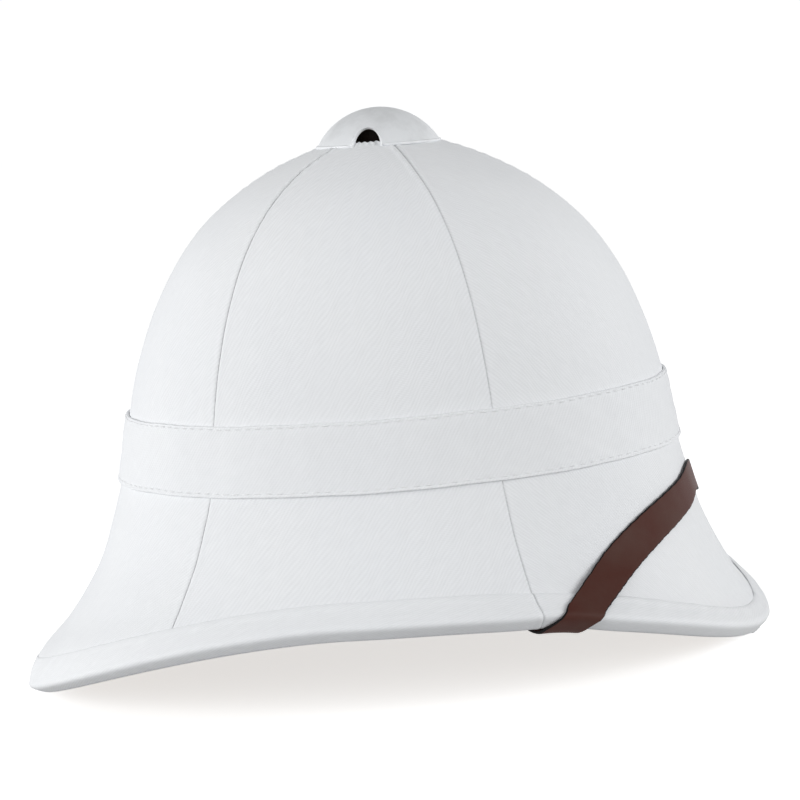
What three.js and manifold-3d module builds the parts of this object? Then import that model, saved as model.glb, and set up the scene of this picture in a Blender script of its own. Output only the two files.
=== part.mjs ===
// A sun helmet of white cotton drill over a cork shell: six cover panels, a folded band round the crown,
// a bound brim, a domed ventilator on top and a leather chin strap worn over the front of the brim.
// Millimetres, +Z up. The front is -Y and the wearer's left is +X.

import * as THREE from 'three';
import { mergeVertices } from 'three/addons/utils/BufferGeometryUtils.js';
import Module from 'manifold-3d';

const wasm = await Module();
wasm.setup();

// Outer face of the cover
// Each hoop lies level in the frame of the band, and reaches so far from the head's axis. The top two
// carry the ventilator, which sits forward of the axis and leans a little to the front.
const CROWN_HOOPS = [
  { height: 124.4, front: 20.8, side: 17.0, rear: 13.2, lean: 0.021 }, // edge of the vent hole
  { height: 121.5, front: 30.7, side: 26.9, rear: 23.1, lean: 0.021 }, // foot of the ventilator
  { height: 113.0, front: 49.8, side: 45.3, rear: 47.3 },
  { height: 100.0, front: 71.4, side: 63.3, rear: 68.5 },
  { height: 82.0, front: 90.4, side: 78.3, rear: 86.7 },
  { height: 60.0, front: 104.3, side: 89.2, rear: 100.7 },
  { height: 37.0, front: 113.1, side: 96.4, rear: 110.6 },
  { height: 14.5, front: 118.6, side: 101.3, rear: 117.1 }, // upper edge of the band
  { height: -14.5, front: 122.9, side: 105.8, rear: 123.7 }, // lower edge of the band
];
// The brim's hoops hang by a share of the drop from the band's lower edge to the rim.
const BRIM_HOOPS = [
  { drop: 0.2, front: 126.2, side: 109.0, rear: 129.7 },
  { drop: 0.42, front: 130.9, side: 113.5, rear: 138.0 },
  { drop: 0.68, front: 139.0, side: 121.6, rear: 155.1 },
  { drop: 0.86, front: 146.6, side: 129.7, rear: 170.0 },
  { drop: 1.0, front: 155.9, side: 137.6, rear: 174.6 },
];
// The rim hangs low at front and rear and rises between them: its height goes with a power of the
// cosine of the turn.
const RIM = {
  sideHeight: -62.2,
  frontHeight: -94.1,
  rearHeight: -104.7,
  frontPower: 3.16,
  rearPower: 1.74,
};

// Wall, counted inward from the cover's outer face
const GAP = 0.3;
const COVER_THICKNESS = 1.0;
const SHELL_THICKNESS = 5.0;
const SHELL_OUTER = COVER_THICKNESS + GAP;
const SHELL_INNER = SHELL_OUTER + SHELL_THICKNESS;
const RIM_SETBACK = 1.2;

// Band round the crown and binding round the rim
const BAND_THICKNESS = 1.2;
const BINDING_THICKNESS = 1.0;
const BINDING_WIDTH = 12.8;
const EDGE_DEPTH = 4.0;
const EDGE_SQUARENESS = 4;
const EDGE_STEPS = 6;
const REST_PRESS = 0.8;
// The strap nips the rim in where it folds over it.
const NIP = { turn: 57.0, halfTurn: 6.0, depth: 1.6 };

// Panel seams, in degrees of turn from the front by the wearer's right, and the stations between them
const SEAM_TURNS = [0, 60.75, 119.9, 180];
const STATION_TURNS = [
  [4, 12, 20, 28, 36, 44, 52.5],
  [68, 75.5, 83, 90, 97.5, 105, 112.5],
  [128, 136.5, 144.5, 152, 160, 168, 176],
];
const ROWS = [0, 1, 1.5, 2, 2.5, 3, 3.5, 4, 5, 6, 7, 8, 9, 10, 11, 12];
const BAND_ROWS = [7, 8];

// Ventilator: a pressed metal dome, open below, with an arched air hole on each side
const VENT = {
  forward: 3.8,
  clearance: 0.5,
  lipRadius: 27.4,
  lipThickness: 0.9,
  lipWidth: 2.6,
  domeRadius: 26.5,
  domeHeight: 15.2,
  wall: 1.2,
  archWidth: 13.2,
  archHeight: 8.0,
  archSill: -0.2,
  segments: 28,
  arcSteps: 6,
};
const VENT_HOLE_TURNS = [90, -90];

// Chin strap: from a stud inside the right temple, under the brim, round the rim and over the front,
// and the same on the left. Run is the way up the brim's outer face from the rim. A negative run is
// past the rim, over its edge and up the inside.
const STRAP = {
  width: 13.2,
  thickness: 1.4,
  clearance: 0.45,
  sink: 0.8,
  across: [-0.5, 0, 0.5],
  step: 7.5,
  foldStep: 1.6,
  foldReach: 9.0,
  mitreReach: 30.0,
  layReach: 20.0,
  freeReach: 38.0,
};
const STRAP_ROUTE = [
  { turn: 0, run: 72.2 },
  { turn: 12.3, run: 65.7 },
  { turn: 21, run: 58.3 },
  { turn: 30.6, run: 46.4 },
  { turn: 42.4, run: 27.7 },
  { turn: 52.6, run: 6.0 },
  { turn: 57.8, run: -5.1 },
  { turn: 62.5, run: -14.5 },
  { turn: 74, run: -35.0 },
  { turn: 84, run: -53.0 },
  { turn: 92, run: -66.0 },
];
const STUD = {
  turn: 89.6,
  run: -61.6,
  headRadius: 5.5,
  headThickness: 1.6,
  stemRadius: 2.0,
  stemLength: 5.0,
};
const STUD_SEGMENTS = 12;

const COLOURS = {
  cork: { color: '#c9b08a', roughness: 0.95, metalness: 0 },
  cloth: { color: '#eceef0', roughness: 0.9, metalness: 0 },
  paint: { color: '#eeefee', roughness: 0.45, metalness: 0 },
  leather: { color: '#4a2e29', roughness: 0.5, metalness: 0 },
  brass: { color: '#b08d4f', roughness: 0.4, metalness: 1 },
};

const HOOP_COUNT = CROWN_HOOPS.length + BRIM_HOOPS.length;
const LAST_HOOP = HOOP_COUNT - 1;
const BAND_BOTTOM = CROWN_HOOPS[CROWN_HOOPS.length - 1].height;
const BINDING_FACE = GAP + BINDING_THICKNESS;
const BINDING_UNDER = SHELL_INNER + GAP + BINDING_THICKNESS;
const EDGE_HALF = (BINDING_FACE + BINDING_UNDER) / 2;
const EDGE_CORNER_SAVING = 2.0; // what the rounded corners take off the way over the edge
const EDGE_RUN = 2 * (EDGE_HALF + EDGE_DEPTH) - EDGE_CORNER_SAVING;
const FOLD_MIDDLE = EDGE_RUN / 2 - (EDGE_DEPTH - BINDING_FACE + NIP.depth); // run, down from the rim
const CURVE_DIVISIONS = 40;
const NORMAL_STEP = 0.05;
const MERGE_TOLERANCE = 1e-4;
// Millimetres along the brim for a degree of turn, near enough to space the strap's steps
const ROUTE_SCALE = 2.0;

// Form of the cover

function rimHeight(turn) {
  const cosine = Math.cos(THREE.MathUtils.degToRad(turn));
  const end = cosine > 0 ? RIM.frontHeight : RIM.rearHeight;
  const power = cosine > 0 ? RIM.frontPower : RIM.rearPower;
  return RIM.sideHeight + (end - RIM.sideHeight) * Math.abs(cosine) ** power;
}

function hoopPoint(hoop, turn, height) {
  const angle = THREE.MathUtils.degToRad(turn);
  const reach = Math.cos(angle) > 0 ? hoop.front : hoop.rear;
  const y = -reach * Math.cos(angle);
  const rise = (hoop.lean ?? 0) * (y + VENT.forward);
  return new THREE.Vector3(-hoop.side * Math.sin(angle), y, height + rise);
}

// The cover's profile at one turn, from the vent hole down to the rim.
const profiles = new Map();
function profile(turn) {
  if (!profiles.has(turn)) {
    const crown = CROWN_HOOPS.map((hoop) => hoopPoint(hoop, turn, hoop.height));
    const fall = rimHeight(turn) - BAND_BOTTOM;
    const brim = BRIM_HOOPS.map((hoop) => hoopPoint(hoop, turn, BAND_BOTTOM + hoop.drop * fall));
    const curve = new THREE.CatmullRomCurve3([...crown, ...brim], false, 'centripetal');
    curve.arcLengthDivisions = CURVE_DIVISIONS * LAST_HOOP;
    profiles.set(turn, curve);
  }
  return profiles.get(turn);
}

// The hoop number, with its fraction, that lies so far above the rim along the profile.
function hoopAbove(turn, rise) {
  const curve = profile(turn);
  return LAST_HOOP * curve.getUtoTmapping(1 - rise / curve.getLength());
}

function downhill(turn, hoop) {
  return profile(turn).getTangent(Math.min(hoop / LAST_HOOP, 1));
}

function outward(turn, hoop) {
  const before = profile(turn - NORMAL_STEP).getPoint(hoop / LAST_HOOP);
  const after = profile(turn + NORMAL_STEP).getPoint(hoop / LAST_HOOP);
  return after.sub(before).cross(downhill(turn, hoop)).normalize();
}

// A point at a turn and a hoop number, lifted off the cover's outer face; a negative lift goes inward.
function skin(turn, hoop, lift) {
  const point = profile(turn).getPoint(hoop / LAST_HOOP);
  return point.addScaledVector(outward(turn, hoop), lift);
}

// How far the rim is nipped in at a turn, towards the crown.
function nip(turn) {
  const away = (Math.abs(turn) - NIP.turn) / NIP.halfTurn;
  return NIP.depth * Math.exp(-(away ** 2));
}

function roundedPower(value) {
  return Math.sign(value) * Math.abs(value) ** (2 / EDGE_SQUARENESS);
}

// How far above the rim its rounded edge starts.
function edgeStart(turn) {
  return EDGE_DEPTH - BINDING_FACE + nip(turn);
}

// A point on the bound rim at a share of the way over its edge, from its outer face (0) to its
// under side (1): half of a squared ellipse, grown by the lift.
function edgePoint(turn, share, lift) {
  const angle = Math.PI * share;
  const normal = outward(turn, LAST_HOOP);
  const down = downhill(turn, LAST_HOOP);
  const rise = (EDGE_HALF + lift) * roundedPower(Math.cos(angle));
  const reach = (EDGE_DEPTH + lift) * roundedPower(Math.sin(angle));
  const point = profile(turn).getPoint(1);
  point.addScaledVector(normal, BINDING_FACE - EDGE_HALF + rise);
  return point.addScaledVector(down, reach - edgeStart(turn));
}

// A point on the brim's bound surface: a positive run goes up the outer face, a negative one goes
// over the edge and up the inside.
function wrapPoint(turn, run, lift) {
  const start = edgeStart(turn);
  if (run >= start) {
    return skin(turn, hoopAbove(turn, run), BINDING_FACE + lift);
  }
  const past = start - run;
  if (past <= EDGE_RUN) {
    return edgePoint(turn, past / EDGE_RUN, lift);
  }
  return skin(turn, hoopAbove(turn, past - EDGE_RUN + start), -BINDING_UNDER - lift);
}

// Solids

// A closed body through rings of points. Each ring is an outer row and an inner row of equal length,
// walked out and back; an open row of rings ends in strips that join the two rows.
function loft(rings, closed) {
  const size = rings[0].length;
  const positions = rings.flat().flatMap((point) => point.toArray());
  const faces = [];
  const spans = closed ? rings.length : rings.length - 1;
  for (let i = 0; i < spans; i += 1) {
    const here = i * size;
    const next = ((i + 1) % rings.length) * size;
    for (let j = 0; j < size; j += 1) {
      const k = (j + 1) % size;
      faces.push(here + j, next + j, next + k, here + j, next + k, here + k);
    }
  }
  if (!closed) {
    const last = (rings.length - 1) * size;
    for (let j = 0; j < size / 2 - 1; j += 1) {
      const back = size - 1 - j;
      faces.push(j, j + 1, back - 1, j, back - 1, back);
      faces.push(last + j, last + back - 1, last + j + 1, last + j, last + back, last + back - 1);
    }
  }
  const geometry = new THREE.BufferGeometry();
  geometry.setAttribute('position', new THREE.Float32BufferAttribute(positions, 3));
  geometry.setIndex(faces);
  return facingOut(geometry);
}

// Turns every face over when the body's volume comes out negative.
function facingOut(geometry) {
  const position = geometry.getAttribute('position');
  const index = Array.from(geometry.getIndex().array);
  const corner = [0, 1, 2].map(() => new THREE.Vector3());
  let volume = 0;
  for (let i = 0; i < index.length; i += 3) {
    corner.forEach((vector, j) => vector.fromBufferAttribute(position, index[i + j]));
    volume += corner[0].dot(corner[1].cross(corner[2]));
  }
  geometry.setIndex(volume < 0 ? index.reverse() : index);
  return geometry;
}

function toSolid(geometry, placement) {
  const bare = new THREE.BufferGeometry();
  bare.setAttribute('position', geometry.getAttribute('position').clone());
  bare.setIndex(geometry.getIndex());
  const merged = mergeVertices(bare.applyMatrix4(placement ?? new THREE.Matrix4()), MERGE_TOLERANCE);
  const vertProperties = new Float32Array(merged.getAttribute('position').array);
  const triVerts = new Uint32Array(merged.getIndex().array);
  return new wasm.Manifold(new wasm.Mesh({ numProp: 3, vertProperties, triVerts }));
}

function toGeometry(solid) {
  const mesh = solid.getMesh();
  const geometry = new THREE.BufferGeometry();
  geometry.setAttribute('position', new THREE.Float32BufferAttribute(mesh.vertProperties, 3));
  geometry.setIndex(Array.from(mesh.triVerts));
  return geometry;
}

const rightTurns = SEAM_TURNS.slice(0, -1).flatMap((seam, i) => [seam, ...STATION_TURNS[i]]);
const allTurns = [...rightTurns, 180, ...rightTurns.slice(1).reverse().map((turn) => -turn)];

// A ring of the wall at one turn, between two depths, from the vent hole to just short of the rim.
function wallRing(turn, outer, inner, sideStep) {
  const rows = [...ROWS, hoopAbove(turn, RIM_SETBACK + nip(turn))];
  const place = (hoop, lift) => {
    const reach = Math.hypot(...profile(turn).getPoint(hoop / LAST_HOOP).toArray().slice(0, 2));
    return skin(turn + THREE.MathUtils.radToDeg(sideStep / reach), hoop, lift);
  };
  const outerRow = rows.map((hoop) => place(hoop, -outer));
  const innerRow = rows.map((hoop) => place(hoop, -inner));
  return [...outerRow, ...innerRow.reverse()];
}

function coverPanel(side, first) {
  const turns = [SEAM_TURNS[first], ...STATION_TURNS[first], SEAM_TURNS[first + 1]];
  const insets = [GAP / 2, ...STATION_TURNS[first].map(() => 0), -GAP / 2];
  const rings = turns.map((turn, i) => wallRing(side * turn, 0, COVER_THICKNESS, side * insets[i]));
  return loft(rings, false);
}

function bandGeometry() {
  const rings = allTurns.map((turn) => {
    const outerRow = BAND_ROWS.map((hoop) => skin(turn, hoop, GAP + BAND_THICKNESS));
    const innerRow = BAND_ROWS.map((hoop) => skin(turn, hoop, GAP));
    return [...outerRow, ...innerRow.reverse()];
  });
  return loft(rings, true);
}

// One section of the binding: up to the rim on the outside, over the edge, and as far up the inside.
function bindingRow(turn, lift) {
  const top = hoopAbove(turn, BINDING_WIDTH);
  const edge = Array.from({ length: EDGE_STEPS + 1 }, (_, i) => edgePoint(turn, i / EDGE_STEPS, lift));
  return [skin(turn, top, BINDING_FACE + lift), ...edge, skin(turn, top, -BINDING_UNDER - lift)];
}

const bindingRings = allTurns.map((turn) => [
  ...bindingRow(turn, 0),
  ...bindingRow(turn, -BINDING_THICKNESS).reverse(),
]);

// How the helmet stands: tilted until the rim's front and rear touch the ground together.
function standing() {
  const lowest = (turn) => {
    const points = bindingRow(turn, 0);
    return points.reduce((low, point) => (point.z < low.z ? point : low));
  };
  const front = lowest(0);
  const rear = lowest(180);
  const tilt = Math.atan2(front.z - rear.z, rear.y - front.y);
  const turned = new THREE.Matrix4().makeRotationX(tilt);
  const box = new THREE.Box3();
  bindingRings.flat().forEach((point) => box.expandByPoint(point.clone().applyMatrix4(turned)));
  const middle = box.getCenter(new THREE.Vector3());
  return { tilt, y: -middle.y, z: -box.min.z };
}

const stand = standing();
const standMatrix = new THREE.Matrix4().makeTranslation(0, stand.y, stand.z);
standMatrix.multiply(new THREE.Matrix4().makeRotationX(stand.tilt));
const unstandMatrix = standMatrix.clone().invert();

// The binding is pressed flat where it meets the ground.
function pressed(point) {
  const settled = point.clone().applyMatrix4(standMatrix);
  if (settled.z < REST_PRESS) {
    settled.z = 0;
  }
  return settled.applyMatrix4(unstandMatrix);
}

// The strap lies on the binding near the rim and sinks to the cover further up.
function strapLift(run) {
  const past = Math.abs(run + FOLD_MIDDLE);
  const free = THREE.MathUtils.smoothstep(past, STRAP.layReach, STRAP.freeReach);
  return STRAP.clearance - free * STRAP.sink;
}

// Stud and its socket: a round head and a stem, square to the shell's inner face.
function studPlacement(side) {
  const turn = side * STUD.turn;
  const foot = wrapPoint(turn, STUD.run, strapLift(STUD.run) + STRAP.thickness + GAP);
  const inward = foot.clone().sub(wrapPoint(turn, STUD.run, 0)).normalize();
  const swing = new THREE.Quaternion().setFromUnitVectors(new THREE.Vector3(0, 1, 0), inward);
  return new THREE.Matrix4().compose(foot, swing, new THREE.Vector3(1, 1, 1));
}

function stemGeometry(radius, from, to) {
  const geometry = new THREE.CylinderGeometry(radius, radius, to - from, STUD_SEGMENTS);
  return geometry.translate(0, (from + to) / 2, 0);
}

function studGeometry(side) {
  const placement = studPlacement(side);
  const head = toSolid(stemGeometry(STUD.headRadius, 0, STUD.headThickness), placement);
  const stem = toSolid(stemGeometry(STUD.stemRadius, -STUD.stemLength, STUD.headThickness / 2), placement);
  return toGeometry(head.add(stem));
}

function studSocket(side) {
  const depth = STUD.stemLength + GAP;
  return toSolid(stemGeometry(STUD.stemRadius + GAP, -depth, STUD.headThickness), studPlacement(side));
}

function shellGeometry() {
  const rings = allTurns.map((turn) => wallRing(turn, SHELL_OUTER, SHELL_INNER, 0));
  const solid = toSolid(loft(rings, true));
  return toGeometry(solid.subtract(studSocket(1)).subtract(studSocket(-1)));
}

// Shares of the route's length, close together where the strap folds over the rim.
function strapStations(route) {
  const length = route.getLength();
  const shares = [];
  let travelled = 0;
  while (travelled < length) {
    shares.push(travelled / length);
    const past = Math.abs(route.getPointAt(travelled / length).y + FOLD_MIDDLE);
    travelled += past < STRAP.foldReach ? STRAP.foldStep : STRAP.step;
  }
  return [...shares, 1];
}

// The strap's cross lines are square to it, and turn parallel to the rim where it folds over.
function strapGeometry() {
  const half = STRAP_ROUTE.map((row) => new THREE.Vector3(row.turn * ROUTE_SCALE, row.run, 0));
  const mirrored = half.slice(1).reverse().map((row) => new THREE.Vector3(-row.x, row.y, 0));
  const route = new THREE.CatmullRomCurve3([...mirrored, ...half], false, 'centripetal');
  const rings = strapStations(route).map((station) => {
    const middle = route.getPointAt(station);
    const heading = route.getTangentAt(station);
    const turn = middle.x / ROUTE_SCALE;
    const degree = wrapPoint(turn, middle.y, 0).distanceTo(wrapPoint(turn + 1, middle.y, 0));
    const along = new THREE.Vector2((heading.x / ROUTE_SCALE) * degree, heading.y).normalize();
    const past = Math.abs(middle.y + FOLD_MIDDLE);
    const mitre = 1 - THREE.MathUtils.smoothstep(past, STRAP.foldReach, STRAP.mitreReach);
    const shear = mitre === 0 ? 0 : (-mitre * along.x) / along.y;
    const row = (lift) => STRAP.across.map((share) => {
      const shift = share * STRAP.width;
      const across = shift * (shear * along.x - along.y);
      const run = middle.y + shift * (along.x + shear * along.y);
      return wrapPoint(turn + across / degree, run, strapLift(run) + lift);
    });
    return [...row(STRAP.thickness), ...row(0).reverse()];
  });
  const solid = toSolid(loft(rings, false));
  return toGeometry(solid.subtract(studSocket(1)).subtract(studSocket(-1)));
}

// A spherical cap's section, from its rim up to its top.
function capSection(halfWidth, height, base) {
  const radius = (halfWidth ** 2 + height ** 2) / (2 * height);
  const sweep = Math.asin(halfWidth / radius);
  return Array.from({ length: VENT.arcSteps + 1 }, (_, i) => {
    const angle = sweep * (1 - i / VENT.arcSteps);
    return new THREE.Vector2(radius * Math.sin(angle), base + height - radius * (1 - Math.cos(angle)));
  });
}

// The ventilator's section: lip on the cover, dome, and back along the inside.
function ventGeometry() {
  const [hole, ring] = CROWN_HOOPS;
  const slope = (ring.height - hole.height) / (ring.side - hole.side);
  const foot = (radius) => ring.height + slope * (radius - ring.side) + VENT.clearance;
  const lipInside = VENT.lipRadius - VENT.lipWidth;
  const lipTop = foot(VENT.lipRadius) + VENT.lipThickness;
  const section = [
    ...capSection(lipInside, VENT.domeHeight - VENT.wall, lipTop).reverse(),
    new THREE.Vector2(lipInside, foot(lipInside)),
    new THREE.Vector2(VENT.lipRadius, foot(VENT.lipRadius)),
    new THREE.Vector2(VENT.lipRadius, lipTop - VENT.lipThickness / 2),
    new THREE.Vector2(VENT.lipRadius - VENT.lipThickness / 2, lipTop),
    ...capSection(VENT.domeRadius, VENT.domeHeight, lipTop),
  ];
  const dome = facingOut(new THREE.LatheGeometry(section, VENT.segments));
  dome.rotateX(Math.PI / 2);
  const base = foot(VENT.lipRadius);
  const pierce = (solid, turn) => solid.subtract(archCutter(turn, base));
  const geometry = toGeometry(VENT_HOLE_TURNS.reduce(pierce, toSolid(dome)));
  geometry.translate(0, 0, -hole.height);
  geometry.rotateX(Math.atan(hole.lean));
  return geometry.translate(0, -VENT.forward, hole.height);
}

// An arched cutter that points outward at a turn, with its foot so far above the lip's under side.
function archCutter(turn, base) {
  const arch = new THREE.Shape();
  const halfWidth = VENT.archWidth / 2;
  arch.moveTo(-halfWidth, VENT.archSill);
  arch.absellipse(0, VENT.archSill, halfWidth, VENT.archHeight, 0, Math.PI, false, 0);
  arch.closePath();
  const cutter = new THREE.ExtrudeGeometry(arch, {
    depth: VENT.lipRadius + GAP,
    bevelEnabled: false,
    curveSegments: VENT.arcSteps * 2,
  });
  const aim = new THREE.Matrix4().makeRotationZ(THREE.MathUtils.degToRad(-turn));
  aim.premultiply(new THREE.Matrix4().makeTranslation(0, 0, base));
  aim.multiply(new THREE.Matrix4().makeRotationX(Math.PI / 2));
  const indexed = mergeVertices(bareGeometry(cutter), MERGE_TOLERANCE);
  return toSolid(indexed, aim);
}

function bareGeometry(geometry) {
  geometry.deleteAttribute('normal');
  geometry.deleteAttribute('uv');
  return geometry;
}

function addPiece(parent, name, geometry, finish) {
  geometry.computeVertexNormals();
  const mesh = new THREE.Mesh(geometry, new THREE.MeshStandardMaterial(finish));
  mesh.name = name;
  parent.add(mesh);
}

const helmet = new THREE.Group();
helmet.position.set(0, stand.y, stand.z);
helmet.rotation.x = stand.tilt;

addPiece(helmet, 'cork_shell', shellGeometry(), COLOURS.cork);
['front', 'side', 'rear'].forEach((place, i) => {
  addPiece(helmet, `cover_panel_${place}_right`, coverPanel(1, i), COLOURS.cloth);
  addPiece(helmet, `cover_panel_${place}_left`, coverPanel(-1, i), COLOURS.cloth);
});
addPiece(helmet, 'crown_band', bandGeometry(), COLOURS.cloth);
addPiece(helmet, 'brim_binding', loft(bindingRings.map((ring) => ring.map(pressed)), true), COLOURS.cloth);
addPiece(helmet, 'ventilator', ventGeometry(), COLOURS.paint);
addPiece(helmet, 'chin_strap', strapGeometry(), COLOURS.leather);
addPiece(helmet, 'strap_stud_right', studGeometry(1), COLOURS.brass);
addPiece(helmet, 'strap_stud_left', studGeometry(-1), COLOURS.brass);

export default helmet;
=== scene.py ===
"""A sun helmet of white cotton drill over cork, standing on its rim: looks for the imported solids.

Lengths are in millimetres in the tables and functions of form, and turned to metres when a mesh is
made. A turn is in degrees from the front by the wearer's right. A hoop is a number down the profile,
from 0 at the vent hole to 13 at the rim. Where a bump or groove is a bell, its PLACE is the distance
of its middle and its REACH the distance at which it has fallen to a third.
"""

import bmesh
import bpy
import numpy as np
from mathutils import Matrix


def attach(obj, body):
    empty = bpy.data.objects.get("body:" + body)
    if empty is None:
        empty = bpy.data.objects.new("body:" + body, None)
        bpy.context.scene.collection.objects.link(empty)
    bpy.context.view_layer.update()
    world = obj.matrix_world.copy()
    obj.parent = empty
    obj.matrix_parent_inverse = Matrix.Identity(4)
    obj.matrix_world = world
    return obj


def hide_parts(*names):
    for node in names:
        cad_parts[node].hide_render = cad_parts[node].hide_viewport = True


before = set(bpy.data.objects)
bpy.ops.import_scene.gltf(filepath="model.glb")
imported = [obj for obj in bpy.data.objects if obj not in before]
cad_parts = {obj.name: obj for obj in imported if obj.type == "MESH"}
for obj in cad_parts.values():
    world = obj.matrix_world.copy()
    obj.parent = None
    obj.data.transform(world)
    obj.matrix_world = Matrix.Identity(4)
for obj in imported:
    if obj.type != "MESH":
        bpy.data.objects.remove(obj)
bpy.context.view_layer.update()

bl_info = {
    "name": "Cork sun helmet",
    "version": (1, 0, 0),
    "blender": (4, 5, 0),
    "location": "3D View > Sidebar > Helmet",
    "description": "Builds a cloth-covered sun helmet with its band, binding, ventilator and chin strap",
    "category": "Object",
}

# Form of the cover's outer face: height above the band's middle, reach to front, side and rear
CROWN_HOOPS = np.array((
    (124.4, 20.8, 17.0, 13.2),
    (121.5, 30.7, 26.9, 23.1),
    (113.0, 49.8, 45.3, 47.3),
    (100.0, 71.4, 63.3, 68.5),
    (82.0, 90.4, 78.3, 86.7),
    (60.0, 104.3, 89.2, 100.7),
    (37.0, 113.1, 96.4, 110.6),
    (14.5, 118.6, 101.3, 117.1),
    (-14.5, 122.9, 105.8, 123.7),
))
# Brim: share of the drop from the band to the rim, reach to front, side and rear
BRIM_HOOPS = np.array((
    (0.2, 126.2, 109.0, 129.7),
    (0.42, 130.9, 113.5, 138.0),
    (0.68, 139.0, 121.6, 155.1),
    (0.86, 146.6, 129.7, 170.0),
    (1.0, 155.9, 137.6, 174.6),
))
RIM_SIDE_HEIGHT = -62.2
RIM_FRONT_HEIGHT = -94.1
RIM_REAR_HEIGHT = -104.7
RIM_FRONT_POWER = 3.16
RIM_REAR_POWER = 1.74
LAST_HOOP = len(CROWN_HOOPS) + len(BRIM_HOOPS) - 1
BAND_TOP_HOOP = 7

# How the helmet stands on the ground
STAND_TILT = 1.5883633
STAND_Y = -12.157212
STAND_Z = 103.08747

# Walls, counted from the cover's outer face
GAP = 0.3
COVER_THICKNESS = 1.0
SHELL_OUTER = COVER_THICKNESS + GAP
SHELL_INNER = SHELL_OUTER + 5.0
BAND_THICKNESS = 1.2
BINDING_THICKNESS = 1.0
BINDING_WIDTH = 12.8
BINDING_FACE = GAP + BINDING_THICKNESS
BINDING_UNDER = SHELL_INNER + GAP + BINDING_THICKNESS
RIM_SETBACK = 1.2
EDGE_HALF = (BINDING_FACE + BINDING_UNDER) / 2
EDGE_DEPTH = 4.0
EDGE_SQUARENESS = 4.0
EDGE_RUN = 2 * (EDGE_HALF + EDGE_DEPTH) - 2
NIP_TURN = 57.0
NIP_HALF_TURN = 6.0
NIP_DEPTH = 1.6
REST_PRESS = 0.8

# Seams between the panels, and how far each one bends to the front on its way down the brim
SEAM_TURNS = (0.0, 60.75, 119.9, 180.0)
SEAM_BENDS = (0.0, 0.0, 3.8, 0.0)
SEAM_BEND_HOOP = 9.5
PANEL_PLACES = ("front", "side", "rear")

# Ventilator: it sits forward of the crown's axis and leans to the front, with the top two hoops
VENT_FORWARD = 3.8
VENT_LEAN = 0.021
VENT_HOOPS = 2
VENT_CLEARANCE = 0.5
VENT_LIP_RADIUS = 27.4
VENT_LIP_WIDTH = 2.6
VENT_LIP_THICKNESS = 0.9
VENT_DOME_RADIUS = 26.5
VENT_DOME_HEIGHT = 15.2
VENT_WALL = 1.2
VENT_ARCH_WIDTH = 13.2
VENT_ARCH_HEIGHT = 8.0
VENT_ARCH_SILL = -0.2
VENT_EDGE_ROUND = 0.1
VENT_FLARE = 0.6
VENT_FLARE_REACH = 1.3
VENT_FLARE_RADII = (8.0, 16.0)
VENT_JAMB = 1.6
VENT_ARCH_COLUMNS = 47
VENT_BESIDE_ARCH = 0.1
VENT_ARCH_GAP = 0.0004
VENT_OUTER_ROWS = 34
VENT_INNER_ROWS = 24
# Dark tube under the dome: painted shade, so that the air holes look dark inside
SHADE_TUBE_RADIUS = 12.0
SHADE_TUBE_FOOT = -2.5
SHADE_TUBE_TOP = 11.6
SHADE_TUBE_THICKNESS = 0.4
SHADE_TUBE_COLUMNS = 64
SHADE_TUBE_ROWS = 8

# Chin strap: turn and run up the brim's outer face, from the middle of the front to the right stud
STRAP_ROUTE = np.array((
    (0.0, 69.6),
    (12.3, 63.2),
    (21.0, 56.2),
    (30.6, 45.6),
    (42.4, 27.7),
    (52.3, 6.0),
    (56.9, -5.1),
    (60.6, -14.5),
    (71.5, -35.0),
    (83.0, -53.0),
    (92.0, -66.0),
))
STRAP_WIDTH = 13.2
STRAP_THICKNESS = 1.2
STRAP_CORNER = 0.55
STRAP_STEP = 0.9
STRAP_DRAWN_IN = 0.1
STRAP_DRAWN_IN_REACH = 10.0
STRAP_PAINTED_FROM = 0.8
STRAP_PAINTED_TO = 0.1
STRAP_EDGE_SHARE = 0.45
STRAP_LEVEL = 0.05
STRAP_CLEARANCE = 0.45
STRAP_SINK = 1.2
STRAP_LAY_REACH = 20.0
STRAP_FREE_REACH = 38.0
STRAP_MITRE_REACH = 30.0
STRAP_FOLD_REACH = 9.0
FOLD_MIDDLE = EDGE_RUN / 2 - (EDGE_DEPTH - BINDING_FACE + NIP_DEPTH)
ROUTE_SCALE = 2.0
STUD_TURN = 89.6
STUD_RUN = -61.6
STUD_HEAD_RADIUS = 5.5
STUD_HEAD_THICKNESS = 1.6
STUD_STEM_RADIUS = 2.0
STUD_STEM_LENGTH = 5.0
STUD_RIM = 0.4
STUD_HOLE_RADIUS = 0.02
STUD_SIDES = 48

# Cloth panels: edge under the ventilator, seam grooves with a ridge on each side, and the allowance
PANEL_COLUMNS = 121
PANEL_ROWS = 124
PANEL_CROWDING = 0.9
PANEL_RIB_ANGLES = (118.0, 60.0, 62.0)
PANEL_PITCHES = (0.8, 1.0, 1.0)
PINKING_TEETH = 11
PINKING_HOOP = 0.5
PINKING_DEPTH = 0.2
PINKING_LIFT = 0.7
PINKING_REACH = 3.0
SEAM_GAP = 0.04
SEAM_GROOVE_REACH = 0.45
# Reach of the painted shade along each seam
SEAM_SHADE_REACH = 0.42
SEAM_RIDGE_PLACE = 1.5
SEAM_RIDGE_REACH = 1.1
SEAM_GATHER = 1.6
SEAM_GATHER_HOOPS = (1.5, 4.5)
SEAM_PUCKER = 0.35
SEAM_PUCKER_PITCH = 6.3
SEAM_PUCKER_DRIFT = 1.3
SEAM_PUCKER_DRIFT_LENGTH = 17
ALLOWANCE_LIFT = 0.16
ALLOWANCE_EDGE = (6.0, 8.0)
PANEL_SLACK_REACH = (4.0, 22.0)
UNDER_BAND_HOOP = 7.5
UNDER_BAND_HOOPS = 0.75
UNDER_BAND_SINK = 0.1

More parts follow.
